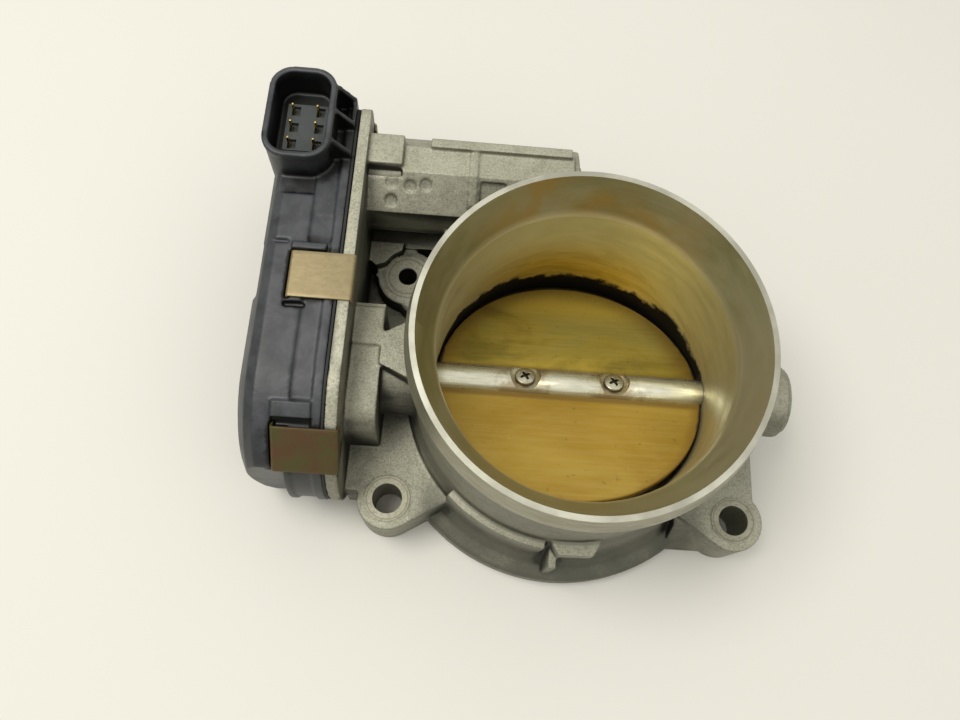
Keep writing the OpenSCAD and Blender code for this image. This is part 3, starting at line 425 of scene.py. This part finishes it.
def screw_steel():
    """Plated screws: painted shade in the cross recess and around the head."""
    t = Tree("screw_steel")
    x, y, z = t.axes()
    from_screw = t.minus(t.absolute(x), SCREW_X * MM)
    r = t.length(from_screw, along_plate(t, y, z))
    domed = t.plus(height_over_plate(t, y, z), t.times(r, r, DOME_DROP / (HEAD_R * HEAD_R * MM)))
    top = (SCREW_SEAT + HEAD_H) * MM
    fine = t.noise(1800, 3, 0.65)
    stain = t.noise(260, 4, 0.65, None, 0.5)
    col = t.mix(t.band(fine, 0.3, 0.7), (0.50, 0.48, 0.38), (0.70, 0.68, 0.56))
    col = t.mix(t.band(stain, 0.5, 0.7, 0, 0.6), col, (0.36, 0.28, 0.15))
    # Painted shade in the cross recess
    recess_shade = t.times(t.band(domed, top - 0.1 * MM, top - 0.6 * MM), 0.95)
    col = t.mix(recess_shade, col, (0.05, 0.042, 0.022))
    # Painted shadow in a ring round the head
    head_shade = t.band(r, (HEAD_R - 0.5) * MM, (HEAD_R - 0.1) * MM, 0, 0.6)
    col = t.mix(head_shade, col, (0.14, 0.11, 0.06))
    t.bump((fine, 0.2, 0.02), (stain, 0.1, 0.05))
    return t.finish(col, t.band(stain, 0.3, 0.7, 0.22, 0.36), 0.9)


def shaft_steel():
    """Bright shaft, browned around the screws and where it enters the walls."""
    t = Tree("shaft_steel")
    x = t.axes()["X"]
    fine = t.noise(1500, 3, 0.65, t.scaled(0.08, 1, 1))
    turning = t.noise(2400, 2, 0.6, t.scaled(1, 0.05, 0.05))
    col = t.mix(t.band(fine, 0.3, 0.7), (0.62, 0.605, 0.47), (0.80, 0.785, 0.64))
    from_screw = t.absolute(t.minus(t.absolute(x), SCREW_X * MM))
    ragged = t.plus(from_screw, t.band(t.noise(160, 4, 0.6), 0.3, 0.7, -0.004, 0.004))
    halo = t.times(t.band(ragged, 0.009, 0.003), 0.62)
    col = t.mix(halo, col, (0.30, 0.205, 0.075))
    at_wall = t.times(t.band(t.absolute(x), (BORE_R - 4.0) * MM, (BORE_R - 0.5) * MM), 0.5)
    col = t.mix(at_wall, col, (0.2, 0.15, 0.08))
    t.bump((fine, 0.14, 0.015), (turning, 0.1, 0.012))
    return t.finish(col, t.band(t.noise(210, 4, 0.6), 0.3, 0.7, 0.24, 0.38), 0.85)


def moulded(name, base, rough, grain=0.3):
    """Injection-moulded plastic with a fine grain and scuffs."""
    t = Tree(name)
    fine = t.noise(2200, 2, 0.5)
    cloud = t.noise(70, 5, 0.6)
    scuff = t.noise(330, 5, 0.7, t.scaled(1, 0.25, 0.6), 0.5)
    light = tuple(min(1, c * 1.6 + 0.008) for c in base)
    worn = tuple(min(1, c * 2.2 + 0.03) for c in base)
    col = t.mix(t.band(cloud, 0.3, 0.7), base, light)
    col = t.mix(t.band(scuff, 0.6, 0.78, 0, 0.35), col, worn)
    even = t.band(cloud, 0.3, 0.7, rough * 0.85, rough * 1.15)
    t.bump((fine, grain, 0.03), (cloud, 0.1, 0.15))
    return t.finish(col, t.plus(even, t.band(scuff, 0.55, 0.8, 0, 0.12)), 0.0)


def cover_plastic():
    """Black gear cover with painted sheen on top, scuffed, and painted shade in its hollows."""
    t = Tree("cover_plastic")
    fine = t.noise(2300, 2, 0.5)
    cloud = t.noise(60, 5, 0.62)
    scuff = t.noise(260, 5, 0.72, t.scaled(1, 0.3, 1), 0.6)
    speck = t.noise(1300, 2, 0.6)
    col = t.mix(t.band(cloud, 0.3, 0.7), (0.012, 0.014, 0.015), (0.03, 0.034, 0.036))
    # Painted sheen on the tops, in patches
    top_sheen = t.band(t.noise(95, 5, 0.65, None, 0.5), 0.34, 0.66, 0.12, 0.75)
    col = t.mix(t.times(t.up(0.4, 0.95), top_sheen), col, (0.082, 0.084, 0.096))
    col = t.mix(t.band(scuff, 0.56, 0.76, 0, 0.5), col, (0.06, 0.061, 0.068))
    col = t.mix(t.band(speck, 0.7, 0.76, 0, 0.5), col, (0.16, 0.155, 0.145))
    # Painted shade in the hollows, near black where most enclosed
    col = t.mix(t.band(t.enclosure(), 0.2, 0.42, 0, 0.97), col, (0.0015, 0.002, 0.0015))
    rough = t.plus(t.band(cloud, 0.3, 0.7, 0.36, 0.48), t.band(scuff, 0.5, 0.8, 0, 0.14))
    t.bump((fine, 0.35, 0.035), (t.noise(500, 3, 0.6), 0.15, 0.05))
    return t.finish(col, rough, 0.0)


def clip_zinc():
    """Yellow-passivated clips; the one nearest the camera is darker and browner."""
    t = Tree("clip_zinc")
    y = t.axes()["Y"]
    grain = t.noise(900, 4, 0.7, t.scaled(0.5, 1, 1))
    cloud = t.noise(75, 5, 0.6, None, 0.5)
    hue = t.noise(55, 3, 0.5)
    col = t.mix(t.band(grain, 0.3, 0.7), (0.29, 0.234, 0.12), (0.36, 0.292, 0.158))
    col = t.mix(t.band(hue, 0.45, 0.65, 0, 0.5), col, (0.32, 0.235, 0.12))
    col = t.mix(t.band(cloud, 0.55, 0.72, 0, 0.5), col, (0.34, 0.29, 0.17))
    patches = t.band(t.noise(90, 4, 0.65, None, 0.6), 0.42, 0.62)
    near = t.mix(patches, (0.085, 0.078, 0.02), (0.11, 0.056, 0.023))
    col = t.mix(t.band(y, -0.018, -0.024, 0, 0.93), col, near)
    t.bump((grain, 0.2, 0.015), (cloud, 0.12, 0.1))
    return t.finish(col, t.band(cloud, 0.3, 0.7, 0.42, 0.55), 0.45)


MATERIALS = {
    "cast_aluminium": cast_aluminium(),
    "cover_plastic": cover_plastic(),
    "clip_steel": clip_zinc(),
    "gasket_rubber": moulded("gasket_rubber", (0.012, 0.012, 0.012), 0.7),
    "insert_plastic": moulded("insert_plastic", (0.03, 0.035, 0.033), 0.45, grain=0.15),
    "terminal_brass": steel("terminal_brass", (0.80, 0.58, 0.20), 0.25, (1, 1, 0.1)),
    "plate_brass": plate_brass(),
    "shaft_steel": shaft_steel(),
    "screw_steel": screw_steel(),
    "bearing_steel": steel("bearing_steel", (0.62, 0.62, 0.61), 0.25, (0.1, 1, 1)),
    "plug_steel": steel("plug_steel", (0.58, 0.575, 0.55), 0.35, stain=(0.35, 0.32, 0.26)),
    "gear_plastic": moulded("gear_plastic", (0.62, 0.58, 0.46), 0.5, grain=0.15),
    "rotor_plastic": moulded("rotor_plastic", (0.04, 0.04, 0.045), 0.45, grain=0.15),
    "board_green": moulded("board_green", (0.012, 0.11, 0.045), 0.35, grain=0.1),
    "spring_steel": steel("spring_steel", (0.30, 0.29, 0.28), 0.35, stain=(0.16, 0.12, 0.08)),
    "motor_steel": steel("motor_steel", (0.56, 0.56, 0.54), 0.35, (0.15, 1, 1), stain=(0.4, 0.36, 0.3)),
    "magnet_dark": moulded("magnet_dark", (0.06, 0.06, 0.065), 0.6),
    "brush_carbon": moulded("brush_carbon", (0.03, 0.03, 0.03), 0.55),
    "copper": steel("copper", (0.72, 0.33, 0.15), 0.35, (1, 0.15, 0.15), 900, (0.35, 0.16, 0.08)),
    "cap_plastic": moulded("cap_plastic", (0.62, 0.56, 0.43), 0.5, grain=0.15),
    "bush_bronze": steel("bush_bronze", (0.58, 0.38, 0.16), 0.45, (1, 1, 1), 900),
    "pinion_brass": steel("pinion_brass", (0.74, 0.54, 0.22), 0.28, (0.15, 1, 1)),
}
TURNED = turned_aluminium()
FACED = faced_aluminium()

# ---------- hollows: how enclosed each point of the assembly is ----------

RAYS = 20
REACH = 0.018
SAMPLE_STEP = 0.0022
GRID = 1000
LIFT = 0.0003
FALLOFF = 0.6
NEIGHBOURS = 4
# Look-ups are made a little outside the surface, so that the two sides of a thin wall keep apart
SHIFT = 0.002
SOFTENING = 0.0004


def ray_directions():
    """Evenly spread directions on a half sphere about +Z."""
    out = []
    for k in range(RAYS):
        up = (k + 0.5) / RAYS
        a = k * math.pi * (3 - math.sqrt(5))
        side = math.sqrt(1 - up * up)
        out.append(Vector((side * math.cos(a), side * math.sin(a), up)))
    return out


def scene_tree(names):
    """One tree for ray casting over the faces of these CAD nodes."""
    verts, polys = [], []
    for name in names:
        mesh = frame["nodes"][name].data
        base = len(verts)
        verts += [v.co.copy() for v in mesh.vertices]
        polys += [[base + i for i in p.vertices] for p in mesh.polygons]
    return BVHTree.FromPolygons(verts, polys)


WRAP = scene_tree([
    "throttle_housing", "gear_cover", "cover_clips", "throttle_plate", "throttle_shaft",
    "cover_gasket", "shaft_end_plug", "connector_insert",
])
DIRECTIONS = ray_directions()


def vertex_values(vectors, field):
    """The mesh's vertex positions or normals as an array of rows."""
    out = np.empty(len(vectors) * 3, np.float32)
    vectors.foreach_get(field, out)
    return out.reshape(-1, 3)


def sample_vertices(co, no):
    """One vertex for each cell of a coarse grid and each of six facing directions."""
    axis = np.argmax(np.abs(no), axis=1)
    side = axis * 2 + (no[np.arange(len(no)), axis] > 0)
    kx, ky, kz = (np.floor(co / SAMPLE_STEP).astype(np.int64) + GRID // 2).T
    _, first = np.unique(((kx * GRID + ky) * GRID + kz) * 6 + side, return_index=True)
    return first


def enclosed(point, normal):
    """The share of rays from the point that meet the assembly; near hits count more."""
    start = point + normal * LIFT
    turn = normal.to_track_quat("Z", "Y")
    lost = 0.0
    for direction in DIRECTIONS:
        hit = WRAP.ray_cast(start, turn @ direction, REACH)
        if hit[0] is not None:
            lost += 1 - FALLOFF * hit[3] / REACH
    return lost / RAYS


def paint_hollows(mesh):
    """Stores 0 (open) to 1 (enclosed) on each vertex as the attribute 'hollow'."""
    co = vertex_values(mesh.vertices, "co")
    no = vertex_values(mesh.vertex_normals, "vector")
    first = sample_vertices(co, no)
    values = np.empty(len(first), np.float32)
    tree = KDTree(len(first))
    for k, i in enumerate(first):
        point, normal = Vector(co[i]), Vector(no[i])
        values[k] = enclosed(point, normal)
        tree.insert(point + normal * SHIFT, k)
    tree.balance()
    found = np.empty(len(co), np.float32)
    for i in range(len(co)):
        near = tree.find_n(Vector(co[i]) + Vector(no[i]) * SHIFT, NEIGHBOURS)
        weights = [1 / (d + SOFTENING) for _, _, d in near]
        found[i] = sum(values[k] * w for (_, k, _), w in zip(near, weights)) / sum(weights)
    layer = mesh.attributes.new("hollow", "FLOAT", "POINT")
    layer.data.foreach_set("value", found)


# ---------- cast and moulded skins ----------


def new_piece(name, mesh, body, node):
    """An object that rides on a body and is drawn in place of a CAD node."""
    piece = bpy.data.objects.new(name, mesh)
    scene.collection.objects.link(piece)
    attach(piece, body)
    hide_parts(node)
    return piece


def dress(mesh, *materials):
    """Gives the mesh these materials in place of its own."""
    mesh.materials.clear()
    for material in materials:
        mesh.materials.append(material)


def shade_smooth(mesh):
    mesh.polygons.foreach_set("use_smooth", [True] * len(mesh.polygons))


def evaluated_mesh(obj):
    """A new mesh with the object's modifiers applied."""
    graph = bpy.context.evaluated_depsgraph_get()
    return bpy.data.meshes.new_from_object(obj.evaluated_get(graph))


def skin(node, voxel, rounds, machined, faces):
    """The node's surface rebuilt with rounded edges, as a casting or moulding leaves them."""
    source = frame["nodes"][node]
    work = bpy.data.objects.new(node + "_work", source.data.copy())
    scene.collection.objects.link(work)
    remesh = work.modifiers.new("remesh", "REMESH")
    remesh.mode = "VOXEL"
    remesh.voxel_size = voxel * MM
    mesh = evaluated_mesh(work)
    work.modifiers.clear()
    work.data = mesh
    keep = machined(vertex_values(mesh.vertices, "co") / MM)
    soft_group = work.vertex_groups.new(name="soft")
    soft_group.add(np.nonzero(~keep)[0].tolist(), 1.0, "REPLACE")
    smooth = work.modifiers.new("smooth", "SMOOTH")
    smooth.factor = 0.5
    smooth.iterations = rounds
    smooth.vertex_group = "soft"
    thin = work.modifiers.new("thin", "DECIMATE")
    thin.ratio = min(1.0, faces / (2.0 * len(mesh.polygons)))
    mesh = evaluated_mesh(work)
    bpy.data.objects.remove(work)
    shade_smooth(mesh)
    return mesh


def housing_machined(co):
    """Vertices of the bore, inlet, rim, spot-faces, holes and manifold face."""
    x, y, z = co[:, 0], co[:, 1], co[:, 2]
    r = np.hypot(x, y)
    keep = (r < BEAD_R + 0.4) & (z > BEAD_LOW - 0.2)
    keep |= (r < NECK_IN) & (z > NECK_TOP)
    keep |= r < THROAT_R
    keep |= z < 0.6
    for lug_x, lug_y, lug_r in LUGS:
        keep |= np.hypot(x - lug_x, y - lug_y) < lug_r - LUG_MARGIN
    keep |= x < CASE_FACE_X
    return keep


def none_machined(co):
    return np.zeros(len(co), bool)


def sunk(mesh, machined, depth):
    """Pulls the skin's machined areas in, so that the crisp faces drawn over them show."""
    mesh.update()
    co = vertex_values(mesh.vertices, "co")
    no = vertex_values(mesh.vertex_normals, "vector")
    keep = machined(co / MM)
    co[keep] -= no[keep] * depth * MM
    mesh.vertices.foreach_set("co", co.reshape(-1))
    mesh.update()


def is_turned(c):
    """Whether a housing face with this centre, in millimetres, was cut on the lathe."""
    r = math.hypot(c.x, c.y)
    at_shaft = math.hypot(c.y, c.z - SHAFT_Z) < SHAFT_HOLE_R and abs(c.x) > SHAFT_HOLE_X
    if r < BORE_WALL_R and at_shaft:
        return False
    return (r < THROAT_R and c.z > 0.1) or (r < BEAD_R + 0.1 and c.z > BEAD_LOW)


def is_milled(c):
    """Whether a housing face with this centre is on a spot-face, in a lug hole or underneath."""
    near_lug = any(math.hypot(c.x - x, c.y - y) < r - LUG_MARGIN - 0.3 for x, y, r in LUGS)
    return c.z < 0.05 or near_lug


def machined_faces():
    """The CAD's own faces for the turned and milled surfaces, with their exact edges."""
    mesh = frame["nodes"]["throttle_housing"].data.copy()
    dress(mesh, TURNED, FACED)
    bm = bmesh.new()
    bm.from_mesh(mesh)
    drop = []
    for face in bm.faces:
        centre = face.calc_center_median() / MM
        if is_turned(centre):
            face.material_index = 0
        elif is_milled(centre):
            face.material_index = 1
        else:
            drop.append(face)
    bmesh.ops.delete(bm, geom=drop, context="FACES")
    bm.to_mesh(mesh)
    bm.free()
    return mesh


casting = skin("throttle_housing", voxel=0.5, rounds=2, machined=housing_machined, faces=190000)
sunk(casting, housing_machined, depth=0.12)
dress(casting, MATERIALS["cast_aluminium"])
paint_hollows(casting)
new_piece("housing_casting", casting, "housing", "throttle_housing")
crisp = machined_faces()
paint_hollows(crisp)
new_piece("housing_machined", crisp, "housing", "throttle_housing")

shell = skin("gear_cover", voxel=0.42, rounds=3, machined=none_machined, faces=190000)
dress(shell, MATERIALS["cover_plastic"])
paint_hollows(shell)
new_piece("cover_moulding", shell, "housing", "gear_cover")

# ---------- clips ----------

CLIP_W, CLIP_T = 15.0, 0.7
CLIP_X0, CLIP_X1 = -88.9, -69.2
CLIP_GAP, CLIP_BEND = 0.05, 1.1
OUTER_LEG, INNER_LEG = -4.6, -2.2
CLIP_ROWS = 12
# Direction of each clip about X in degrees, then the y and z of its foot on the case
CLIPS = (
    (90, 19.5, CASE_TOP),
    (135, CASE_Y - CASE_R * math.cos(math.radians(45)), CASE_Z + CASE_R * math.cos(math.radians(45))),
    (0, CASE_END, 39.2),
    (270, 30, CASE_LOW),
    (270, 64, CASE_LOW),
)


def bend_points(centre_x, centre_h, start):
    """Six points of a quarter bend, turning clockwise from the start angle in degrees."""
    out = []
    for k in range(1, 7):
        a = math.radians(start - 15 * k)
        out.append((centre_x + CLIP_BEND * math.cos(a), centre_h + CLIP_BEND * math.sin(a)))
    return out


def clip_path():
    """Outside line of the bent strip: outer leg, bridge and short inner leg, as (x, height)."""
    top = CLIP_GAP + CLIP_T
    path = [(CLIP_X0, OUTER_LEG), (CLIP_X0, top - CLIP_BEND)]
    path += bend_points(CLIP_X0 + CLIP_BEND, top - CLIP_BEND, 180)
    path.append((CLIP_X1 - CLIP_BEND, top))
    path += bend_points(CLIP_X1 - CLIP_BEND, top - CLIP_BEND, 90)
    path.append((CLIP_X1, INNER_LEG))
    return path


def inner_line(path):
    """The same line moved in by the strip's thickness."""
    out = []
    for i, p in enumerate(path):
        a = path[max(0, i - 1)]
        b = path[min(len(path) - 1, i + 1)]
        along = Vector((b[0] - a[0], b[1] - a[1])).normalized()
        out.append((p[0] + along.y * CLIP_T, p[1] - along.x * CLIP_T))
    return out


def add_clip(bm, section, place):
    """Sweeps the closed section across the clip's width and closes both ends."""
    grid = []
    for j in range(CLIP_ROWS + 1):
        w = -CLIP_W / 2 + CLIP_W * j / CLIP_ROWS
        grid.append([bm.verts.new((place @ Vector((x, w, h))) * MM) for x, h in section])
    n = len(section)
    for a, b in zip(grid, grid[1:]):
        for k in range(n):
            m = (k + 1) % n
            bm.faces.new((a[k], a[m], b[m], b[k]))
    for line, flip in ((grid[0], True), (grid[-1], False)):
        for k in range(n // 2 - 1):
            quad = [line[k], line[k + 1], line[n - 2 - k], line[n - 1 - k]]
            bm.faces.new(quad[::-1] if flip else quad)


def clip_mesh():
    bm = bmesh.new()
    path = clip_path()
    section = path + inner_line(path)[::-1]
    for angle, foot_y, foot_z in CLIPS:
        turn = Matrix.Rotation(math.radians(angle - 90), 4, "X")
        add_clip(bm, section, Matrix.Translation((0, foot_y, foot_z)) @ turn)
    bmesh.ops.recalc_face_normals(bm, faces=bm.faces)
    mesh = bpy.data.meshes.new("clips")
    bm.to_mesh(mesh)
    bm.free()
    return mesh


def ease_edges(obj, width, angle):
    """Rounds edges sharper than the angle, in degrees; the width is in millimetres."""
    bevel = obj.modifiers.new("edge", "BEVEL")
    bevel.width = width * MM
    bevel.segments = 2
    bevel.limit_method = "ANGLE"
    bevel.angle_limit = math.radians(angle)


clips = clip_mesh()
clips.materials.append(MATERIALS["clip_steel"])
shade_smooth(clips)
clip_piece = new_piece("bent_clips", clips, "housing", "cover_clips")
ease_edges(clip_piece, 0.15, 50)

# ---------- butterfly plate and its screws ----------

RIM_W, SHANK_R, SHANK_END = 0.35, 1.9, -4.35
ARM_HALF, ARM_TAPER, ARM_LENGTH, RECESS = 0.50, 0.12, 1.85, 1.0
REST = Matrix.Translation((0, 0, SHAFT_Z)) @ Matrix.Rotation(-REST_ANGLE, 4, "X")


def as_given(px, py, h):
    return h


def revolved(bm, profile, around, place, shape=as_given):
    """Turns (radius, height) points about Z; the first and last points lie on the axis."""
    rows = []
    for r, h in profile:
        row = []
        for k in range(around if r > 1e-6 else 1):
            a = 2 * math.pi * k / around
            px, py = r * math.cos(a), r * math.sin(a)
            row.append(bm.verts.new((place @ Vector((px, py, shape(px, py, h)))) * MM))
        rows.append(row)
    for a, b in zip(rows, rows[1:]):
        for k in range(around):
            m = (k + 1) % around
            if len(a) == 1:
                bm.faces.new((a[0], b[k], b[m]))
            elif len(b) == 1:
                bm.faces.new((a[m], a[k], b[0]))
            else:
                bm.faces.new((a[m], a[k], b[k], b[m]))


def finished(bm, name, slot, sharp=40):
    """Turns the bmesh into a mesh, with edges sharper than the angle in degrees kept sharp."""
    bmesh.ops.recalc_face_normals(bm, faces=bm.faces)
    mesh = bpy.data.meshes.new(name)
    bm.to_mesh(mesh)
    bm.free()
    mesh.materials.append(MATERIALS[slot])
    mesh.set_sharp_from_angle(angle=math.radians(sharp))
    return mesh


def plate_mesh():
    half = PLATE_T / 2
    radii = [PLATE_R * k / 24 for k in range(24)]
    top = [(r, half) for r in radii] + [(PLATE_R - PLATE_EDGE, half), (PLATE_R, half - PLATE_EDGE)]
    bm = bmesh.new()
    revolved(bm, top + [(r, -h) for r, h in reversed(top)], 180, REST)
    return finished(bm, "plate_disc", "plate_brass", 30)


def ease(value, low, high):
    """A smooth step from 0 at low to 1 at high."""
    k = min(1.0, max(0.0, (value - low) / (high - low)))
    return k * k * (3 - 2 * k)


def cross_recess(px, py, h):
    """Sinks the dome under a cross of four tapering arms, turned by 30 degrees."""
    if h < SCREW_SEAT + RIM_W:
        return h
    turn = math.radians(30)
    u = px * math.cos(turn) + py * math.sin(turn)
    v = -px * math.sin(turn) + py * math.cos(turn)
    arm = 0.0
    for along, across in ((u, v), (v, u)):
        wide = ARM_HALF - ARM_TAPER * abs(along)
        inside = ease(wide + 0.12 - abs(across), 0.0, 0.22)
        arm = max(arm, inside * ease(ARM_LENGTH - abs(along), 0.0, 0.3))
    return h - RECESS * arm


def screw_mesh():
    dome = []
    for k in range(45):
        r = (HEAD_R - RIM_W) * k / 44
        dome.append((r, SCREW_SEAT + HEAD_H - DOME_DROP * (r / HEAD_R) ** 2))
    rim_h = dome[-1][1]
    dome += [(HEAD_R - 0.12, rim_h - 0.12), (HEAD_R, rim_h - 0.4), (HEAD_R, SCREW_SEAT + 0.1)]
    dome += [(HEAD_R - 0.1, SCREW_SEAT), (SHANK_R, SCREW_SEAT), (SHANK_R, SHANK_END + 0.25)]
    dome += [(SHANK_R - 0.3, SHANK_END), (0.0, SHANK_END)]
    bm = bmesh.new()
    for sx in (-SCREW_X, SCREW_X):
        revolved(bm, dome, 144, REST @ Matrix.Translation((sx, 0, 0)), cross_recess)
    return finished(bm, "cross_screws", "screw_steel")


new_piece("plate_disc", plate_mesh(), "throttle", "throttle_plate")
new_piece("cross_screws", screw_mesh(), "throttle", "plate_screws")

# ---------- the other CAD nodes keep their own shape, with eased edges ----------

# Width of each node's eased edges, in millimetres
EDGES = {
    "throttle_shaft": 0.18, "connector_insert": 0.15, "connector_terminals": 0.1,
    "cover_gasket": 0.1, "shaft_end_plug": 0.3, "motor_bracket": 0.2,
    "motor_end_cap": 0.3, "motor_case": 0.3, "sensor_rotor": 0.3, "sector_gear": 0.12,
    "intermediate_gear": 0.12, "motor_pinion": 0.08, "left_bearing": 0.3, "right_bearing": 0.3,
    "idler_pin": 0.3, "sensor_board": 0.1,
}
slots = {s["node"]: s["material_slot"] for s in frame["record"]["subparts"]}
for name, obj in frame["nodes"].items():
    if obj.hide_render:
        continue
    dress(obj.data, MATERIALS[slots[name]])
    if name in EDGES:
        weld = obj.modifiers.new("weld", "WELD")
        weld.merge_threshold = 0.002 * MM
        ease_edges(obj, EDGES[name], 40)

# ---------- camera, floor and light ----------

CAM_POS = (-0.0388, -0.0810, 0.2763)
CAM_TURN = (19.343, -3.305, 3.161)
CAM_LENS = 30.0
FLOOR_Z = -0.0002

cam_data = bpy.data.cameras.new("camera")
cam_data.lens = CAM_LENS
cam_data.sensor_width = 36.0
cam_data.clip_start = 0.01
cam = bpy.data.objects.new("camera", cam_data)
cam.location = CAM_POS
cam.rotation_euler = Euler([math.radians(a) for a in CAM_TURN], "XYZ")
scene.collection.objects.link(cam)
scene.camera = cam


def floor_material():
    t = Tree("floor_paper")
    t.bump((t.noise(900, 3, 0.6), 0.25, 0.08))
    return t.finish(t.mix(t.noise(6, 3, 0.5), (0.80, 0.785, 0.715), (0.84, 0.825, 0.76)), 0.92, 0.0)


bpy.ops.mesh.primitive_plane_add(size=4, location=(0, 0, FLOOR_Z))
floor = bpy.context.object
floor.name = "floor"
floor.data.materials.append(floor_material())


def area_light(name, place, target, size, watts, colour):
    data = bpy.data.lights.new(name, "AREA")
    data.shape = "DISK"
    data.size = size
    data.energy = watts
    data.color = colour
    lamp = bpy.data.objects.new(name, data)
    lamp.location = place
    lamp.rotation_euler = (Vector(target) - Vector(place)).to_track_quat("-Z", "Y").to_euler()
    scene.collection.objects.link(lamp)


area_light("key", (-0.45, 0.05, 0.95), (0, 0, 0.03), 0.5, 4.7, (1.0, 0.98, 0.93))
area_light("fill", (0.7, -0.5, 0.8), (0, 0, 0.03), 0.9, 0.5, (0.99, 0.99, 1.0))


def studio_world():
    """Bright overhead, dim towards the horizon, as under a large soft ceiling."""
    world = bpy.data.worlds.new("studio")
    world.use_nodes = True
    nodes, links = world.node_tree.nodes, world.node_tree.links
    place = nodes.new("ShaderNodeTexCoord")
    split = nodes.new("ShaderNodeSeparateXYZ")
    links.new(place.outputs["Generated"], split.inputs[0])
    band = nodes.new("ShaderNodeMapRange")
    band.interpolation_type = "SMOOTHSTEP"
    for name, value in (("From Min", 0.1), ("From Max", 0.95), ("To Min", 0.15), ("To Max", 0.92)):
        band.inputs[name].default_value = value
    links.new(split.outputs["Z"], band.inputs["Value"])
    back = nodes["Background"]
    back.inputs["Color"].default_value = (1.0, 0.985, 0.94, 1)
    links.new(band.outputs[0], back.inputs["Strength"])
    return world


scene.world = studio_world()
scene.view_settings.view_transform = "Standard"
